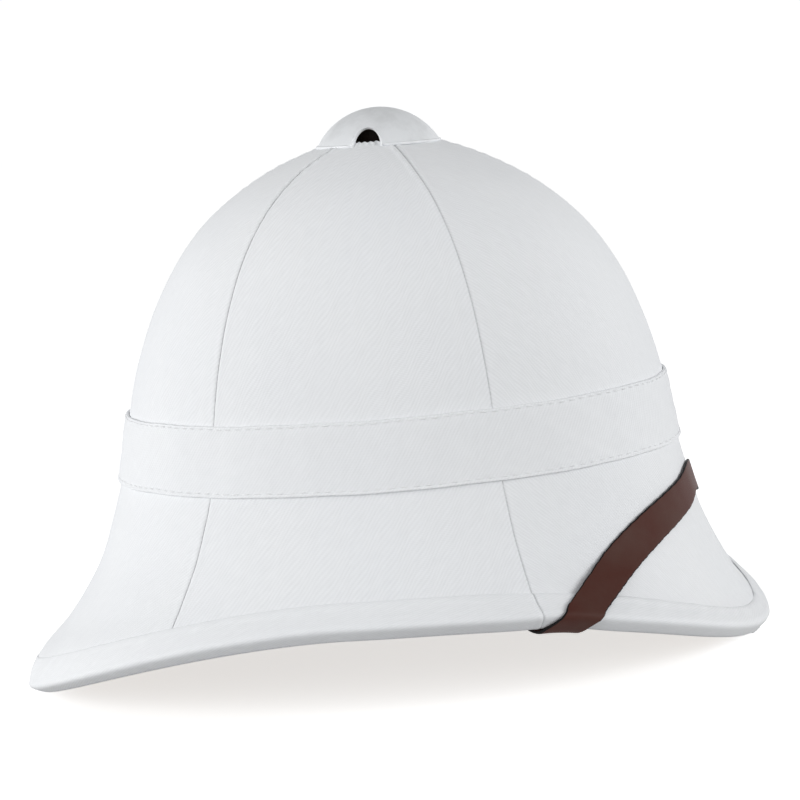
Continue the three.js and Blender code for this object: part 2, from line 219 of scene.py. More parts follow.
# Band: its grid, the cut of its cloth, its folded edges, its crease and its two rows of stitches
BAND_HEIGHT = 29.3
BAND_COLUMNS = 960
BAND_ROWS = 31
BAND_RIB_ANGLE = 56.0
BAND_PITCH = 0.9
BAND_CROWDING = 0.75
BAND_EDGE_ROUND = 0.55
BAND_UPPER_HOLD = 5.0
BAND_LOWER_HOLD = 6.0
BAND_WELT = 0.22
BAND_WELT_PLACE = 0.6
BAND_WELT_REACH = 0.9
BAND_CREASE = 0.16
BAND_CREASE_REACH = 1.3
BAND_CREASE_LENGTH = 240.0
UPPER_STITCH_ROW = 1.3
LOWER_STITCH_ROW = 2.1
STITCH_DENT = 0.32
UPPER_DENT_REACH = 0.7
LOWER_DENT_REACH = 0.8
STITCH_LIFT = 0.12
STITCH_RINGS = 6
STITCH_SIDES = 6
STITCH_TURNS = 3600

# Binding: its grid, the cut of its cloth, its width, the way it thins to its edge, and its sewn join
BINDING_COLUMNS = 800
BINDING_FACE_ROWS = 20
BINDING_CROWDING = 1.3
BINDING_RIB_ANGLE = 20.0
BINDING_PITCH = 0.7
BINDING_FRONT_NARROWING = 4.0
BINDING_FRONT_TURN = 30.0
BINDING_FOLD = 1.1
BINDING_THINNING = 0.5
BINDING_THINNING_REACH = 4.5
FRONT_THINNING = 0.35
FRONT_THINNING_TURN = 35.0
BINDING_WELT = 0.45
BINDING_WELT_REACH = 2.0
BINDING_WELT_FADE = (105.0, 150.0)
BIAS_SLANT = 0.9
PUCKER_RISE = (-2.0, 5.0)
PUCKER_RUN_OVER_EDGE = 8.0
JOIN_TURN = 60.75
JOIN_HALF_TURN = 1.6
JOIN_COLUMNS = 41
JOIN_RIDGE = 0.3
JOIN_RIDGE_PLACE = 1.4
JOIN_GROOVE = 0.5
JOIN_GROOVE_REACH = 0.4
EDGE_ROWS = 28
CLOTH_UNDERSIDE = GAP * 0.7

# Shell
SHELL_COLUMNS = 300
SHELL_ROWS = 110

# Slack and wear, as waves that add up: length, height and phase of each. The panel's fine wave has
# the panel's own phase.
PANEL_SLACK_FINE = (47.0, 0.1)
PANEL_SLACK_WIDE = (83.0, 0.14, 1.1)
BAND_SLACK = ((61.0, 0.12, 0.4), (34.0, 0.1, 2.0), (17.0, 0.06, 1.0))
BAND_SLANTED_SLACK = ((23.0, 0.08, 0.7), (11.0, 0.04, 2.2))
BAND_CREASE_ROUTE = ((90.0, 1.4, 0.5), (41.0, 0.7, 2.1))
BAND_WANDER = ((71.0, 0.16, 0.0), (29.0, 0.1, 1.2))
BINDING_PUCKERS = ((13.0, 0.1, 0.3), (21.0, 0.12, 1.9), (37.0, 0.12, 0.8))
STRAP_FRAY = ((3.1, 0.05, 0.0), (7.3, 0.07, 1.0), (1.9, 0.03, 2.0))
STRAP_WAVES = ((41.0, 0.08, 0.3), (19.0, 0.05, 1.4))

# Camera, in the helmet's own level frame: azimuth from the right side, elevation, roll, distance
CAMERA_TURN = 11.36
CAMERA_ELEVATION = 7.0
CAMERA_ROLL = 5.25
CAMERA_DISTANCE = 1100.0
CAMERA_SHIFT_RIGHT = 2.76
CAMERA_SHIFT_UP = 9.16
CAMERA_SENSOR = 36.0
MM_PER_PIXEL = 0.441
IMAGE_PIXELS = 800
CAMERA_FAR = 100.0

# Stage. A light's name, azimuth from the camera to its left, elevation, distance, size and power
LIGHTS = (
    ("key", 70.0, 12.0, 1.9, 1.2, 22.0),
    ("fill", -62.0, 12.0, 2.2, 1.4, 22.0),
)
LIGHT_AIM = (0.0, 0.0, 0.12)
FLOOR_HALF = 40.0
FLOOR_GLOW = 0.66
SKY_COLOUR = (0.985, 0.993, 1.0, 1.0)
SKY_SIDE = 1.03
SKY_TOP = 0.36
SKY_BELOW = 0.3

# Weave: a wave texture's scale for one wave per millimetre, and the distance between wefts
ONE_WAVE = 0.31416
WEFT_PITCH = 0.95

# Table of heights above the rim: widest turn, uppermost hoop, and the heights' step and end
TABLE_TURN = 181.0
TABLE_HOOP = 5.0
TABLE_HOOPS = 500
TABLE_STEP = 0.5
TABLE_END = 125.0

MM = 0.001


# Form of the helmet


def profile_points(turn):
    """The points where the profile at each turn crosses the hoops. A hoop is two half ellipses that
    share the side reach: x = -side sin(turn), y = -reach cos(turn). The brim's hoops drop by their
    share of the way to the rim, whose height goes with a power of the cosine."""
    turn = np.radians(np.asarray(turn, float))[..., None]
    cosine = np.cos(turn)
    ahead = cosine > 0
    end = np.where(ahead, RIM_FRONT_HEIGHT, RIM_REAR_HEIGHT)
    power = np.where(ahead, RIM_FRONT_POWER, RIM_REAR_POWER)
    rim = RIM_SIDE_HEIGHT + (end - RIM_SIDE_HEIGHT) * np.abs(cosine) ** power
    low = CROWN_HOOPS[-1, 0]
    brim_height = low + BRIM_HOOPS[:, 0] * (rim - low)
    crown_height = np.broadcast_to(CROWN_HOOPS[:, 0], brim_height.shape[:-1] + (len(CROWN_HOOPS),))
    reach = np.vstack((CROWN_HOOPS[:, 1:], BRIM_HOOPS[:, 1:]))
    lengthways = np.where(ahead, reach[:, 0], reach[:, 2])
    x = -reach[:, 1] * np.sin(turn)
    y = -lengthways * cosine
    lean = np.where(np.arange(LAST_HOOP + 1) < VENT_HOOPS, VENT_LEAN, 0.0)
    z = np.concatenate((crown_height, brim_height), -1) + lean * (y + VENT_FORWARD)
    return np.stack((x, y, z), -1)


def spline(points, place):
    """A centripetal Catmull-Rom curve through points (..., n, d) at places 0 to n-1: in each span a
    cubic whose end slopes come from the four points round it, spaced by the root of their distance."""
    place = np.asarray(place, float)
    points = np.broadcast_to(points, place.shape + points.shape[-2:])
    before = 2 * points[..., :1, :] - points[..., 1:2, :]
    after = 2 * points[..., -1:, :] - points[..., -2:-1, :]
    points = np.concatenate((before, points, after), -2)
    span = np.clip(np.floor(place).astype(int), 0, points.shape[-2] - 4)
    share = (place - span)[..., None]

    def point(step):
        index = (span + step)[..., None, None]
        return np.take_along_axis(points, index, -2)[..., 0, :]

    p0, p1, p2, p3 = (point(step) for step in range(4))
    d0, d1, d2 = (np.sqrt(np.linalg.norm(b - a, axis=-1, keepdims=True))
                  for a, b in ((p0, p1), (p1, p2), (p2, p3)))
    slope1 = d1 * ((p1 - p0) / d0 - (p2 - p0) / (d0 + d1) + (p2 - p1) / d1)
    slope2 = d1 * ((p2 - p1) / d1 - (p3 - p1) / (d1 + d2) + (p3 - p2) / d2)
    square = 3 * (p2 - p1) - 2 * slope1 - slope2
    cube = 2 * (p1 - p2) + slope1 + slope2
    return p1 + share * (slope1 + share * (square + share * cube))


def position(turn, hoop):
    """The cover's outer face at a turn and a hoop number."""
    turn, hoop = np.broadcast_arrays(turn, hoop)
    return spline(profile_points(turn), hoop)


def unit(vector):
    return vector / np.linalg.norm(vector, axis=-1, keepdims=True)


def running_length(points, axis=0):
    """Distance along a line of points, from the first of them."""
    steps = np.diff(points, axis=axis, prepend=np.take(points, [0], axis))
    return np.cumsum(np.linalg.norm(steps, axis=-1), axis=axis)


def slopes(turn, hoop):
    """The outward normal and the downhill direction, from small steps along and down the face."""
    step = 0.02
    along = position(turn + step, hoop) - position(turn - step, hoop)
    down = position(turn, hoop + step) - position(turn, hoop - step)
    return unit(np.cross(along, down)), unit(down)


def skin(turn, hoop, lift):
    """The cover's outer face, moved outward by the lift."""
    normal, _ = slopes(turn, hoop)
    return position(turn, hoop) + normal * np.asarray(lift)[..., None]


def rise_table():
    """The hoop number at each whole degree of turn and each half millimetre above the rim."""
    turns = np.arange(-TABLE_TURN, TABLE_TURN + 1)
    hoops = np.linspace(LAST_HOOP, TABLE_HOOP, TABLE_HOOPS)
    rises = running_length(position(turns[:, None], hoops[None, :]), 1)
    grid = np.arange(0.0, TABLE_END, TABLE_STEP)
    return np.array([np.interp(grid, rise, hoops) for rise in rises])


RISE_TABLE = rise_table()


def hoop_above(turn, rise):
    """The hoop number that lies so far above the rim, between the four nearest entries of the table."""
    turn, rise = np.broadcast_arrays(np.asarray(turn, float), np.asarray(rise, float))
    row = np.clip(turn + TABLE_TURN, 0.0, RISE_TABLE.shape[0] - 1.001)
    column = np.clip(rise / TABLE_STEP, 0.0, RISE_TABLE.shape[1] - 1.001)
    i, j = row.astype(int), column.astype(int)
    a, b = row - i, column - j
    upper = RISE_TABLE[i, j] * (1 - b) + RISE_TABLE[i, j + 1] * b
    lower = RISE_TABLE[i + 1, j] * (1 - b) + RISE_TABLE[i + 1, j + 1] * b
    return upper * (1 - a) + lower * a


def nip(turn):
    """How far the strap nips the rim in: a bell round the turn where it folds over."""
    return NIP_DEPTH * np.exp(-(((np.abs(turn) - NIP_TURN) / NIP_HALF_TURN) ** 2))


def rounded_power(value):
    return np.sign(value) * np.abs(value) ** (2 / EDGE_SQUARENESS)


def even_angles():
    """Angles over the half squared ellipse of the edge, evenly spaced along its length."""
    angles = np.linspace(0.0, np.pi, 2001)
    across = EDGE_HALF * rounded_power(np.cos(angles))
    out = EDGE_DEPTH * rounded_power(np.sin(angles))
    length = running_length(np.stack((across, out), -1))
    return length / length[-1], angles


EDGE_SHARES, EDGE_ANGLES = even_angles()


def edge_start(turn):
    """How far above the rim its rounded edge starts."""
    return EDGE_DEPTH - BINDING_FACE + nip(turn)


def edge_point(turn, share, lift):
    """The bound rim at a share of the way over its edge: half of a squared ellipse, grown by the lift."""
    angle = np.interp(share, EDGE_SHARES, EDGE_ANGLES)
    normal, down = slopes(turn, LAST_HOOP)
    across = BINDING_FACE - EDGE_HALF + (EDGE_HALF + lift) * rounded_power(np.cos(angle))
    out = (EDGE_DEPTH + lift) * rounded_power(np.sin(angle)) - edge_start(turn)
    return position(turn, LAST_HOOP) + normal * across[..., None] + down * out[..., None]


def wrap_point(turn, run, lift):
    """The bound surface of the brim: up its outer face for a positive run, and past the rim over the
    edge and up the inside for a negative one."""
    turn, run, lift = np.broadcast_arrays(np.asarray(turn, float), run, lift)
    start = edge_start(turn)
    past = start - run
    outside = skin(turn, hoop_above(turn, np.maximum(run, start)), BINDING_FACE + lift)
    over = edge_point(turn, np.clip(past / EDGE_RUN, 0.0, 1.0), lift)
    inside_rise = np.maximum(past - EDGE_RUN, 0.0) + start
    inside = skin(turn, hoop_above(turn, inside_rise), -BINDING_UNDER - lift)
    on_edge = (past > 0)[..., None]
    beyond = (past > EDGE_RUN)[..., None]
    return np.where(beyond, inside, np.where(on_edge, over, outside))


def stand(points):
    """From the helmet's level frame to the way it stands, still in millimetres."""
    tilt = np.radians(STAND_TILT)
    turned = np.array(((1, 0, 0), (0, np.cos(tilt), -np.sin(tilt)), (0, np.sin(tilt), np.cos(tilt))))
    return points @ turned.T + np.array((0.0, STAND_Y, STAND_Z))


def bell(value, width):
    return np.exp(-((value / width) ** 2))


def smoothstep(value, low, high):
    share = np.clip((value - low) / (high - low), 0.0, 1.0)
    return share * share * (3 - 2 * share)


def ripple(along, waves):
    """A sum of sines, each given as length, height and phase, for the slack of cloth."""
    return sum(height * np.sin(2 * np.pi * along / length + phase) for length, height, phase in waves)


# Meshes


def there_and_back(out, back):
    """A closed section: the points on the way out, then those on the way back in reverse."""
    return np.concatenate((out, back[:, ::-1]), axis=1)


def loft_faces(rings, size, closed, open_section=False):
    """Quads between neighbouring rings of points. Where the rings don't close, strips cross the first
    and the last one, whose second half walks back along its first."""
    ring = np.arange(rings if closed else rings - 1)[:, None]
    here = ring * size
    following = ((ring + 1) % rings) * size
    point = np.arange(size - 1 if open_section else size)[None, :]
    beside = (point + 1) % size
    quads = np.stack((here + point, following + point, following + beside, here + beside), -1)
    quads = quads.reshape(-1, 4)
    if not closed:
        out = np.arange(size // 2 - 1)
        back = size - 1 - out
        first = np.stack((out, out + 1, back - 1, back), -1)
        last = np.stack((out, back, back - 1, out + 1), -1) + (rings - 1) * size
        quads = np.vstack((quads, first, last))
    return quads


def new_mesh(name, points, quads, uv=None, attributes=None):
    """A smooth mesh object from points in millimetres and quads, in the way that the helmet stands."""
    mesh = bpy.data.meshes.new(name)
    quads = np.asarray(quads, dtype=np.int32)
    mesh.vertices.add(len(points))
    mesh.vertices.foreach_set("co", (stand(points) * MM).astype(np.float32).ravel())
    mesh.loops.add(quads.size)
    mesh.loops.foreach_set("vertex_index", quads.ravel())
    mesh.polygons.add(len(quads))
    mesh.polygons.foreach_set("loop_start", np.arange(0, quads.size, 4, dtype=np.int32))
    mesh.polygons.foreach_set("use_smooth", np.ones(len(quads), dtype=bool))
    mesh.update(calc_edges=True)
    if uv is not None:
        layer = mesh.uv_layers.new(name="weave")
        layer.data.foreach_set("uv", uv[quads.ravel()].astype(np.float32).ravel())
    for key, values in (attributes or {}).items():
        layer = mesh.attributes.new(key, "FLOAT", "POINT")
        layer.data.foreach_set("value", values.astype(np.float32).ravel())
    face_out(mesh)
    piece = bpy.data.objects.new(name, mesh)
    bpy.context.scene.collection.objects.link(piece)
    return piece


def face_out(mesh):
    """Turns a closed mesh's faces over where its volume comes out negative."""
    corners = np.empty(len(mesh.vertices) * 3, dtype=np.float32)
    mesh.vertices.foreach_get("co", corners)
    corners = corners.reshape(-1, 3).astype(float)
    index = np.empty(len(mesh.loops), dtype=np.int32)
    mesh.loops.foreach_get("vertex_index", index)
    a, b, c, d = (corners[index.reshape(-1, 4)[:, k]] for k in range(4))
    volume = np.einsum("ij,ij->i", a, np.cross(b, c) + np.cross(c, d)).sum()
    if volume < 0:
        mesh.flip_normals()


def loft_piece(name, rings, closed, sharp, uv=None, attributes=None):
    """A closed body through rings of points (rings, size, 3), with edges sharp from an angle on."""
    flat_uv = None if uv is None else uv.reshape(-1, 2)
    quads = loft_faces(*rings.shape[:2], closed)
    piece = new_mesh(name, rings.reshape(-1, 3), quads, flat_uv, attributes)
    piece.data.set_sharp_from_angle(angle=np.radians(sharp))
    return piece


def finish_piece(piece, material, slot, *nodes):
    """Gives a piece its material, its place in the frame and the nodes that it stands for."""
    piece.data.materials.append(material)
    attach(piece, "root")
    if nodes:
        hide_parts(*nodes)


# Materials


def linear(hex_colour):
    """An sRGB hex colour as linear red, green, blue and alpha."""
    code = np.array([int(hex_colour[i:i + 2], 16) for i in (1, 3, 5)]) / 255
    low = code / 12.92
    high = ((code + 0.055) / 1.055) ** 2.4
    return tuple(np.where(code <= 0.04045, low, high)) + (1.0,)


def add_node(tree, kind, inputs, output=0, **settings):
    """Adds a shader node with its settings, its input values and its links, and gives one output."""
    node = tree.nodes.new("ShaderNode" + kind)
    for key, value in settings.items():
        setattr(node, key, value)
    for socket, value in inputs.items():
        if isinstance(value, bpy.types.NodeSocket):
            tree.links.new(value, node.inputs[socket])
        else:
            node.inputs[socket].default_value = value
    return node.outputs[output] if node.outputs else None


def start_material(name):
    """A new material with an empty tree, and the coordinates of its piece."""
    material = bpy.data.materials.new(name)
    material.use_nodes = True
    material.node_tree.nodes.clear()
    return material, material.node_tree, add_node(material.node_tree, "TexCoord", {}, "Object")


def finish_material(tree, sockets, relief=()):
    """Adds the shader with its values and links, and its layers of relief, one upon another, each
    given as height, strength and depth in metres."""
    for height, strength, depth in relief:
        layer = {"Height": height, "Strength": strength, "Distance": depth}
        if "Normal" in sockets:
            layer["Normal"] = sockets["Normal"]
        sockets["Normal"] = add_node(tree, "Bump", layer)
    add_node(tree, "OutputMaterial", {"Surface": add_node(tree, "BsdfPrincipled", sockets)})


def drill_material(place_name, colours, rib_angle, twill_pitch):
    """Cotton drill: bleached, woven as a steep twill. Its fine ribs, which rise to the right at the
    rib angle, catch the light, its yarns vary in thickness, and the white is a little warmer or
    cooler from place to place. Its ribs are drawn coarser than real ones, so that they show."""
    material, tree, place = start_material(f"cotton drill, {place_name}")
    weave = add_node(tree, "UVMap", {}, uv_map="weave")
    turned = add_node(tree, "Mapping", {
        "Vector": weave, "Rotation": (0.0, 0.0, np.radians(90.0 - rib_angle))})
    warp = add_node(tree, "TexWave", {
        "Vector": turned, "Scale": ONE_WAVE / twill_pitch, "Distortion": 0.7, "Detail": 1.0,
        "Detail Scale": 0.35}, "Fac")
    weft = add_node(tree, "TexWave", {
        "Vector": weave, "Scale": ONE_WAVE / WEFT_PITCH, "Distortion": 0.5, "Detail": 1.0},
        "Fac", bands_direction="Y")
    ribs = add_node(tree, "Math", {0: weft, 1: 0.35, 2: warp}, operation="MULTIPLY_ADD")
    stretched = add_node(tree, "Mapping", {"Vector": turned, "Scale": (0.9, 0.14, 1.0)})
    slubs = add_node(tree, "TexNoise", {
        "Vector": stretched, "Scale": 1.0, "Detail": 3.0, "Roughness": 0.6})
    yarns = add_node(tree, "TexNoise", {
        "Vector": weave, "Scale": 1.4, "Detail": 2.0, "Roughness": 0.7})
    clouds = add_node(tree, "TexNoise", {
        "Vector": place, "Scale": 14.0, "Detail": 3.0, "Roughness": 0.5})
    tone = add_node(tree, "Mix", {
        0: clouds, 6: linear(colours.cloth), 7: linear(colours.cloth_shade)}, 2, data_type="RGBA")
    # Painted shade: the colour darkens in the grooves between the twill ribs.
    groove = add_node(tree, "MapRange", {
        "Value": ribs, "From Min": 0.0, "From Max": 1.35, "To Min": 0.94, "To Max": 1.0})
    speck = add_node(tree, "MapRange", {
        "Value": slubs, "From Min": 0.3, "From Max": 0.7, "To Min": 0.965, "To Max": 1.01})
    weave_shade = add_node(tree, "Math", {0: groove, 1: speck}, operation="MULTIPLY")
    # Painted shade: the seam attribute darkens the colour along the seam grooves and the binding's join,
    # broken up by the yarns.
    seam = add_node(tree, "Attribute", {}, "Fac", attribute_name="seam")
    broken = add_node(tree, "Math", {0: seam, 1: yarns}, operation="MULTIPLY")
    seam_shade = add_node(tree, "MapRange", {
        "Value": broken, "From Min": 0.15, "From Max": 0.7, "To Min": 1.0, "To Max": 0.74})
    shade = add_node(tree, "Math", {0: weave_shade, 1: seam_shade}, operation="MULTIPLY")
    grey = add_node(tree, "CombineColor", {"Red": shade, "Green": shade, "Blue": shade})
    colour = add_node(
        tree, "Mix", {0: 1.0, 6: tone, 7: grey}, 2, data_type="RGBA", blend_type="MULTIPLY")
    finish_material(tree, {
        "Base Color": colour, "Roughness": 0.88, "IOR": 1.47, "Specular IOR Level": 0.25,
        "Sheen Weight": 0.12, "Sheen Roughness": 0.5},
        ((ribs, 0.35, 0.00012), (yarns, 0.3, 0.0001), (slubs, 0.3, 0.00012)))
    return material


def thread_material(colours):
    """Bleached cotton sewing thread: twisted plies that show as fine slanting rings."""
    material, tree, place = start_material("cotton sewing thread")
    plies = add_node(tree, "TexNoise", {"Vector": place, "Scale": 2200.0})
    finish_material(tree, {
        "Base Color": linear(colours.thread), "Roughness": 0.75, "Specular IOR Level": 0.3},
        ((plies, 0.3, 0.00005),))
    return material


def leather_material(colours):
    """Vegetable-tanned strap leather: a finely pebbled brown with a low sheen, greyer in random
    patches of painted sheen, and edges painted black."""
    material, tree, place = start_material("vegetable-tanned strap leather")
    strap = add_node(tree, "UVMap", {}, uv_map="weave")
    grain = add_node(tree, "TexVoronoi", {
        "Vector": strap, "Scale": 1.5, "Randomness": 1.0}, feature="DISTANCE_TO_EDGE")
    pores = add_node(tree, "TexNoise", {
        "Vector": strap, "Scale": 2.6, "Detail": 4.0, "Roughness": 0.65})
    # Painted sheen: random patches where the brown turns greyer.
    patches = add_node(tree, "TexNoise", {
        "Vector": place, "Scale": 55.0, "Detail": 3.0, "Roughness": 0.55})
    patch = add_node(tree, "MapRange", {"Value": patches, "From Min": 0.35, "From Max": 0.75})
    body = add_node(tree, "Mix", {
        0: patch, 6: linear(colours.leather), 7: linear(colours.leather_painted_sheen)}, 2, data_type="RGBA")
    edge = add_node(tree, "Attribute", {}, "Fac", attribute_name="edge")
    ragged = add_node(tree, "Math", {0: pores, 1: 0.5, 2: 0.75}, operation="MULTIPLY_ADD")
    paint = add_node(tree, "Math", {0: edge, 1: ragged}, operation="MULTIPLY")
    painted = add_node(tree, "MapRange", {"Value": paint, "From Min": 0.5, "From Max": 0.7})
    colour = add_node(tree, "Mix", {
        0: painted, 6: body, 7: linear(colours.leather_edge)}, 2, data_type="RGBA")
    rough = add_node(tree, "MapRange", {
        "Value": pores, "From Min": 0.3, "From Max": 0.7, "To Min": 0.38, "To Max": 0.56})
    finish_material(tree, {
        "Base Color": colour, "Roughness": rough, "IOR": 1.4, "Specular IOR Level": 0.14},
        ((grain, 0.35, 0.00012), (pores, 0.35, 0.00012)))
    return material


def enamel_material(colours):
    """White enamel on pressed sheet: a satin film with faint waves and a little grime. Inside the dome
    the colour is dark brown: painted shade."""
    material, tree, place = start_material("white stove enamel")
    waves = add_node(tree, "TexNoise", {"Vector": place, "Scale": 260.0, "Detail": 2.0})
    stains = add_node(tree, "TexNoise", {
        "Vector": place, "Scale": 90.0, "Detail": 4.0, "Roughness": 0.6})
    stain = add_node(tree, "MapRange", {
        "Value": stains, "From Min": 0.45, "From Max": 0.8, "To Max": 0.45})
    film = add_node(tree, "Mix", {
        0: stain, 6: linear(colours.enamel), 7: linear(colours.enamel_grime)}, 2, data_type="RGBA")
    # Painted shade: the dome's inner face is coloured dark brown.
    inside = add_node(tree, "Attribute", {}, "Fac", attribute_name="inside")
    colour = add_node(tree, "Mix", {
        0: inside, 6: film, 7: linear(colours.enamel_painted_shade)}, 2, data_type="RGBA")
    finish_material(tree, {
        "Base Color": colour, "Roughness": 0.42, "IOR": 1.5, "Coat Weight": 0.15,
        "Coat Roughness": 0.25}, ((waves, 0.15, 0.0003),))
    return material


def cork_material(colours):
    """Pressed cork: rounded granules of a few millimetres in several browns, with dark pits between."""
    material, tree, place = start_material("pressed cork")
    granules = {"Vector": place, "Scale": 330.0}
    browns = add_node(tree, "TexVoronoi", granules, "Color")
    borders = add_node(tree, "TexVoronoi", granules, feature="DISTANCE_TO_EDGE")
    mottle = add_node(tree, "SeparateColor", {0: browns})
    body = add_node(tree, "Mix", {
        0: mottle, 6: linear(colours.cork), 7: linear(colours.cork_dark)}, 2, data_type="RGBA")
    crack = add_node(tree, "MapRange", {
        "Value": borders, "From Min": 0.0, "From Max": 0.12, "To Min": 1.0, "To Max": 0.0})
    colour = add_node(tree, "Mix", {
        0: crack, 6: body, 7: linear(colours.cork_pit)}, 2, data_type="RGBA")
    finish_material(tree, {"Base Color": colour, "Roughness": 0.93, "Specular IOR Level": 0.2},
                    ((borders, 0.4, 0.0006),))
    return material


def vent_shade_material(colours):
    """A dark tube of painted shade under the dome: dull and dark, so that little shows through the air
    holes.
    """
    material, tree, place = start_material("painted shade under the ventilator")
    wires = add_node(tree, "TexChecker", {"Vector": place, "Scale": 1200.0}, "Fac")
    finish_material(tree, {
        "Base Color": linear(colours.gauze), "Roughness": 0.7, "Specular IOR Level": 0.3},
        ((wires, 0.5, 0.0003),))
    return material


def brass_material(colours):
    """Dull brass: a turned stud, dulled by handling."""
    material, tree, place = start_material("dull brass")
    tarnish = add_node(tree, "TexNoise", {"Vector": place, "Scale": 700.0, "Detail": 3.0})
    rough = add_node(tree, "MapRange", {"Value": tarnish, "To Min": 0.25, "To Max": 0.55})
    finish_material(tree, {"Base Color": linear(colours.brass), "Metallic": 1.0, "Roughness": rough})
    return material


# Settings


def millimetres(name, description, default, low, high):
    return bpy.props.FloatProperty(
        name=name, description=f"{description}, in millimetres", default=default, min=low, max=high)


def hex_colour(name, place, default):
    return bpy.props.StringProperty(
        name=name, description=f"sRGB hex colour of {place}", default=default)


class HelmetSizes(bpy.types.PropertyGroup):
    seam_depth: millimetres("Seam depth", "How deep the panel seams sink", 0.2, 0.0, 1.5)
    seam_ridge: millimetres("Seam ridge", "How high the cloth stands beside a seam", 0.2, 0.0, 1.0)
    twill_pitch: millimetres("Twill pitch", "Distance between the ribs of the drill", 1.4, 0.3, 4.0)
    stitch_pitch: millimetres("Stitch pitch", "Distance from one stitch to the next", 5.0, 2.0, 10.0)
    stitch_length: millimetres("Stitch length", "Length of each stitch on the face", 3.3, 1.0, 8.0)
    thread_radius: millimetres("Thread radius", "Radius of the sewing thread", 0.24, 0.05, 0.6)


class HelmetColours(bpy.types.PropertyGroup):
    cloth: hex_colour("Cloth", "the drill", "#F3F4F5")
    cloth_shade: hex_colour("Cloth shade", "its cooler patches", "#EDEFF2")
    thread: hex_colour("Thread", "the sewing thread", "#E9EAEB")
    leather: hex_colour("Leather", "the chin strap", "#4C2922")
    # Painted sheen: the greyer brown laid in random patches on the strap.
    leather_painted_sheen: hex_colour("Leather sheen", "the strap's painted sheen", "#50362F")
    leather_edge: hex_colour("Strap edge", "the strap's painted edges", "#141112")
    enamel: hex_colour("Enamel", "the ventilator", "#E6E8EA")
    enamel_grime: hex_colour("Enamel grime", "the ventilator where it is soiled", "#BEBFC0")
    # Painted shade: the dark colour inside the ventilator's dome.
    enamel_painted_shade: hex_colour("Vent inside shade", "the ventilator's inside", "#1E1613")
    # Painted shade: the colour of the dark tube under the ventilator
    gauze: hex_colour("Vent shade", "the dark tube of painted shade under the ventilator", "#2B211C")
    cork: hex_colour("Cork", "the shell", "#CDB48C")
    cork_dark: hex_colour("Dark cork", "the shell's darker granules", "#A5834F")
    cork_pit: hex_colour("Cork pits", "the pits between the granules", "#6E5230")
    brass: hex_colour("Brass", "the studs", "#B4924F")


# Cloth


def crowded_ends(count, crowding):
    """Shares from 0 to 1 that lie closer together towards both ends: x - k sin(2 pi x) / (2 pi)."""
    share = np.linspace(0.0, 1.0, count)
    return share - crowding * np.sin(2 * np.pi * share) / (2 * np.pi)


def around(count):
    """Turns once round the helmet, without the last, which is the first again."""
    return np.linspace(-180.0, 180.0, count, endpoint=False)


def cloth_piece(name, outer, inner, closed, uv, seam, sharp):
    """A cloth body from its outer and inner faces, with its flat place in the weave and the painted shade
    of its seams.
    """
    seams = {"seam": there_and_back(seam, seam)}
    return loft_piece(name, there_and_back(outer, inner), closed, sharp, there_and_back(uv, uv), seams)


def declare_sheet(face, closed):
    """Closes the outer face's rings for a closed piece; nothing is done with the result."""
    if closed:
        face = np.concatenate((face, face[:1]))


def panel_rings(first, last, side, sizes):
    """One cover panel as rings down the profile, between two seams given by their index: its face
    sinks into the seam at each side and stands a little proud beside it, more on the side whose
    allowance lies under it. The top edge, under the ventilator, is pinked and stands up a little."""
    columns = crowded_ends(PANEL_COLUMNS, PANEL_CROWDING)[:, None]
    rows = np.linspace(0.0, 1.0, PANEL_ROWS)
    straight = SEAM_TURNS[first] + (SEAM_TURNS[last] - SEAM_TURNS[first]) * columns
    teeth = np.abs(((columns * PINKING_TEETH) % 1.0) * 2 - 1)
    top = PINKING_HOOP + PINKING_DEPTH * teeth
    bottom = hoop_above(side * straight, RIM_SETBACK + nip(straight))
    hoop = top + (bottom - top) * rows[None, :]
    bend = smoothstep(hoop, SEAM_BEND_HOOP, LAST_HOOP)
    start = SEAM_TURNS[first] - SEAM_BENDS[first] * bend
    end = SEAM_TURNS[last] - SEAM_BENDS[last] * bend
    turn = start + (end - start) * columns
    face = position(side * turn, hoop)
    reach = np.hypot(face[..., 0], face[..., 1])
    from_first = np.radians(turn - start) * reach
    from_last = np.radians(end - turn) * reach
    down = running_length(face, 1)
    gathered = 1 + SEAM_GATHER * (1 - smoothstep(hoop, *SEAM_GATHER_HOOPS))
    lift = np.zeros_like(hoop)
    for away, allowance, phase in ((from_first, ALLOWANCE_LIFT, 0.0), (from_last, 0.0, 1.7)):
        uneven = phase + SEAM_PUCKER_DRIFT * np.sin(down / SEAM_PUCKER_DRIFT_LENGTH)
        pucker = 1 + SEAM_PUCKER * np.sin(2 * np.pi * down / SEAM_PUCKER_PITCH + uneven)
        lift -= sizes.seam_depth * bell(away, SEAM_GROOVE_REACH)
        lift += sizes.seam_ridge * gathered * pucker * bell(away - SEAM_RIDGE_PLACE, SEAM_RIDGE_REACH)
        lift += allowance * (1 - smoothstep(away, *ALLOWANCE_EDGE))
    slack = ripple(down + 0.4 * from_first, ((*PANEL_SLACK_FINE, first), PANEL_SLACK_WIDE))
    slack *= smoothstep(np.minimum(from_first, from_last), *PANEL_SLACK_REACH)
    under_band = bell(hoop - UNDER_BAND_HOOP, UNDER_BAND_HOOPS)
    lift = (lift + slack) * (1 - under_band) - UNDER_BAND_SINK * under_band
    lift += PINKING_LIFT * (1 - smoothstep(down, 0.0, PINKING_REACH))
    # Painted shade: this seam attribute darkens the drill's colour along each seam groove.
    seam = np.maximum(bell(from_first, SEAM_SHADE_REACH), bell(from_last, SEAM_SHADE_REACH))
    apart = np.degrees(SEAM_GAP / reach) * np.where(columns < 0.5, 1, -1) * (seam > 0.9)
    outer = skin(side * (turn + apart), hoop, lift)
    inner = skin(side * (turn + apart), hoop, -COVER_THICKNESS)
    across = side * (from_last - from_first) / 2
    return outer, inner, np.stack((across, -down), -1), seam


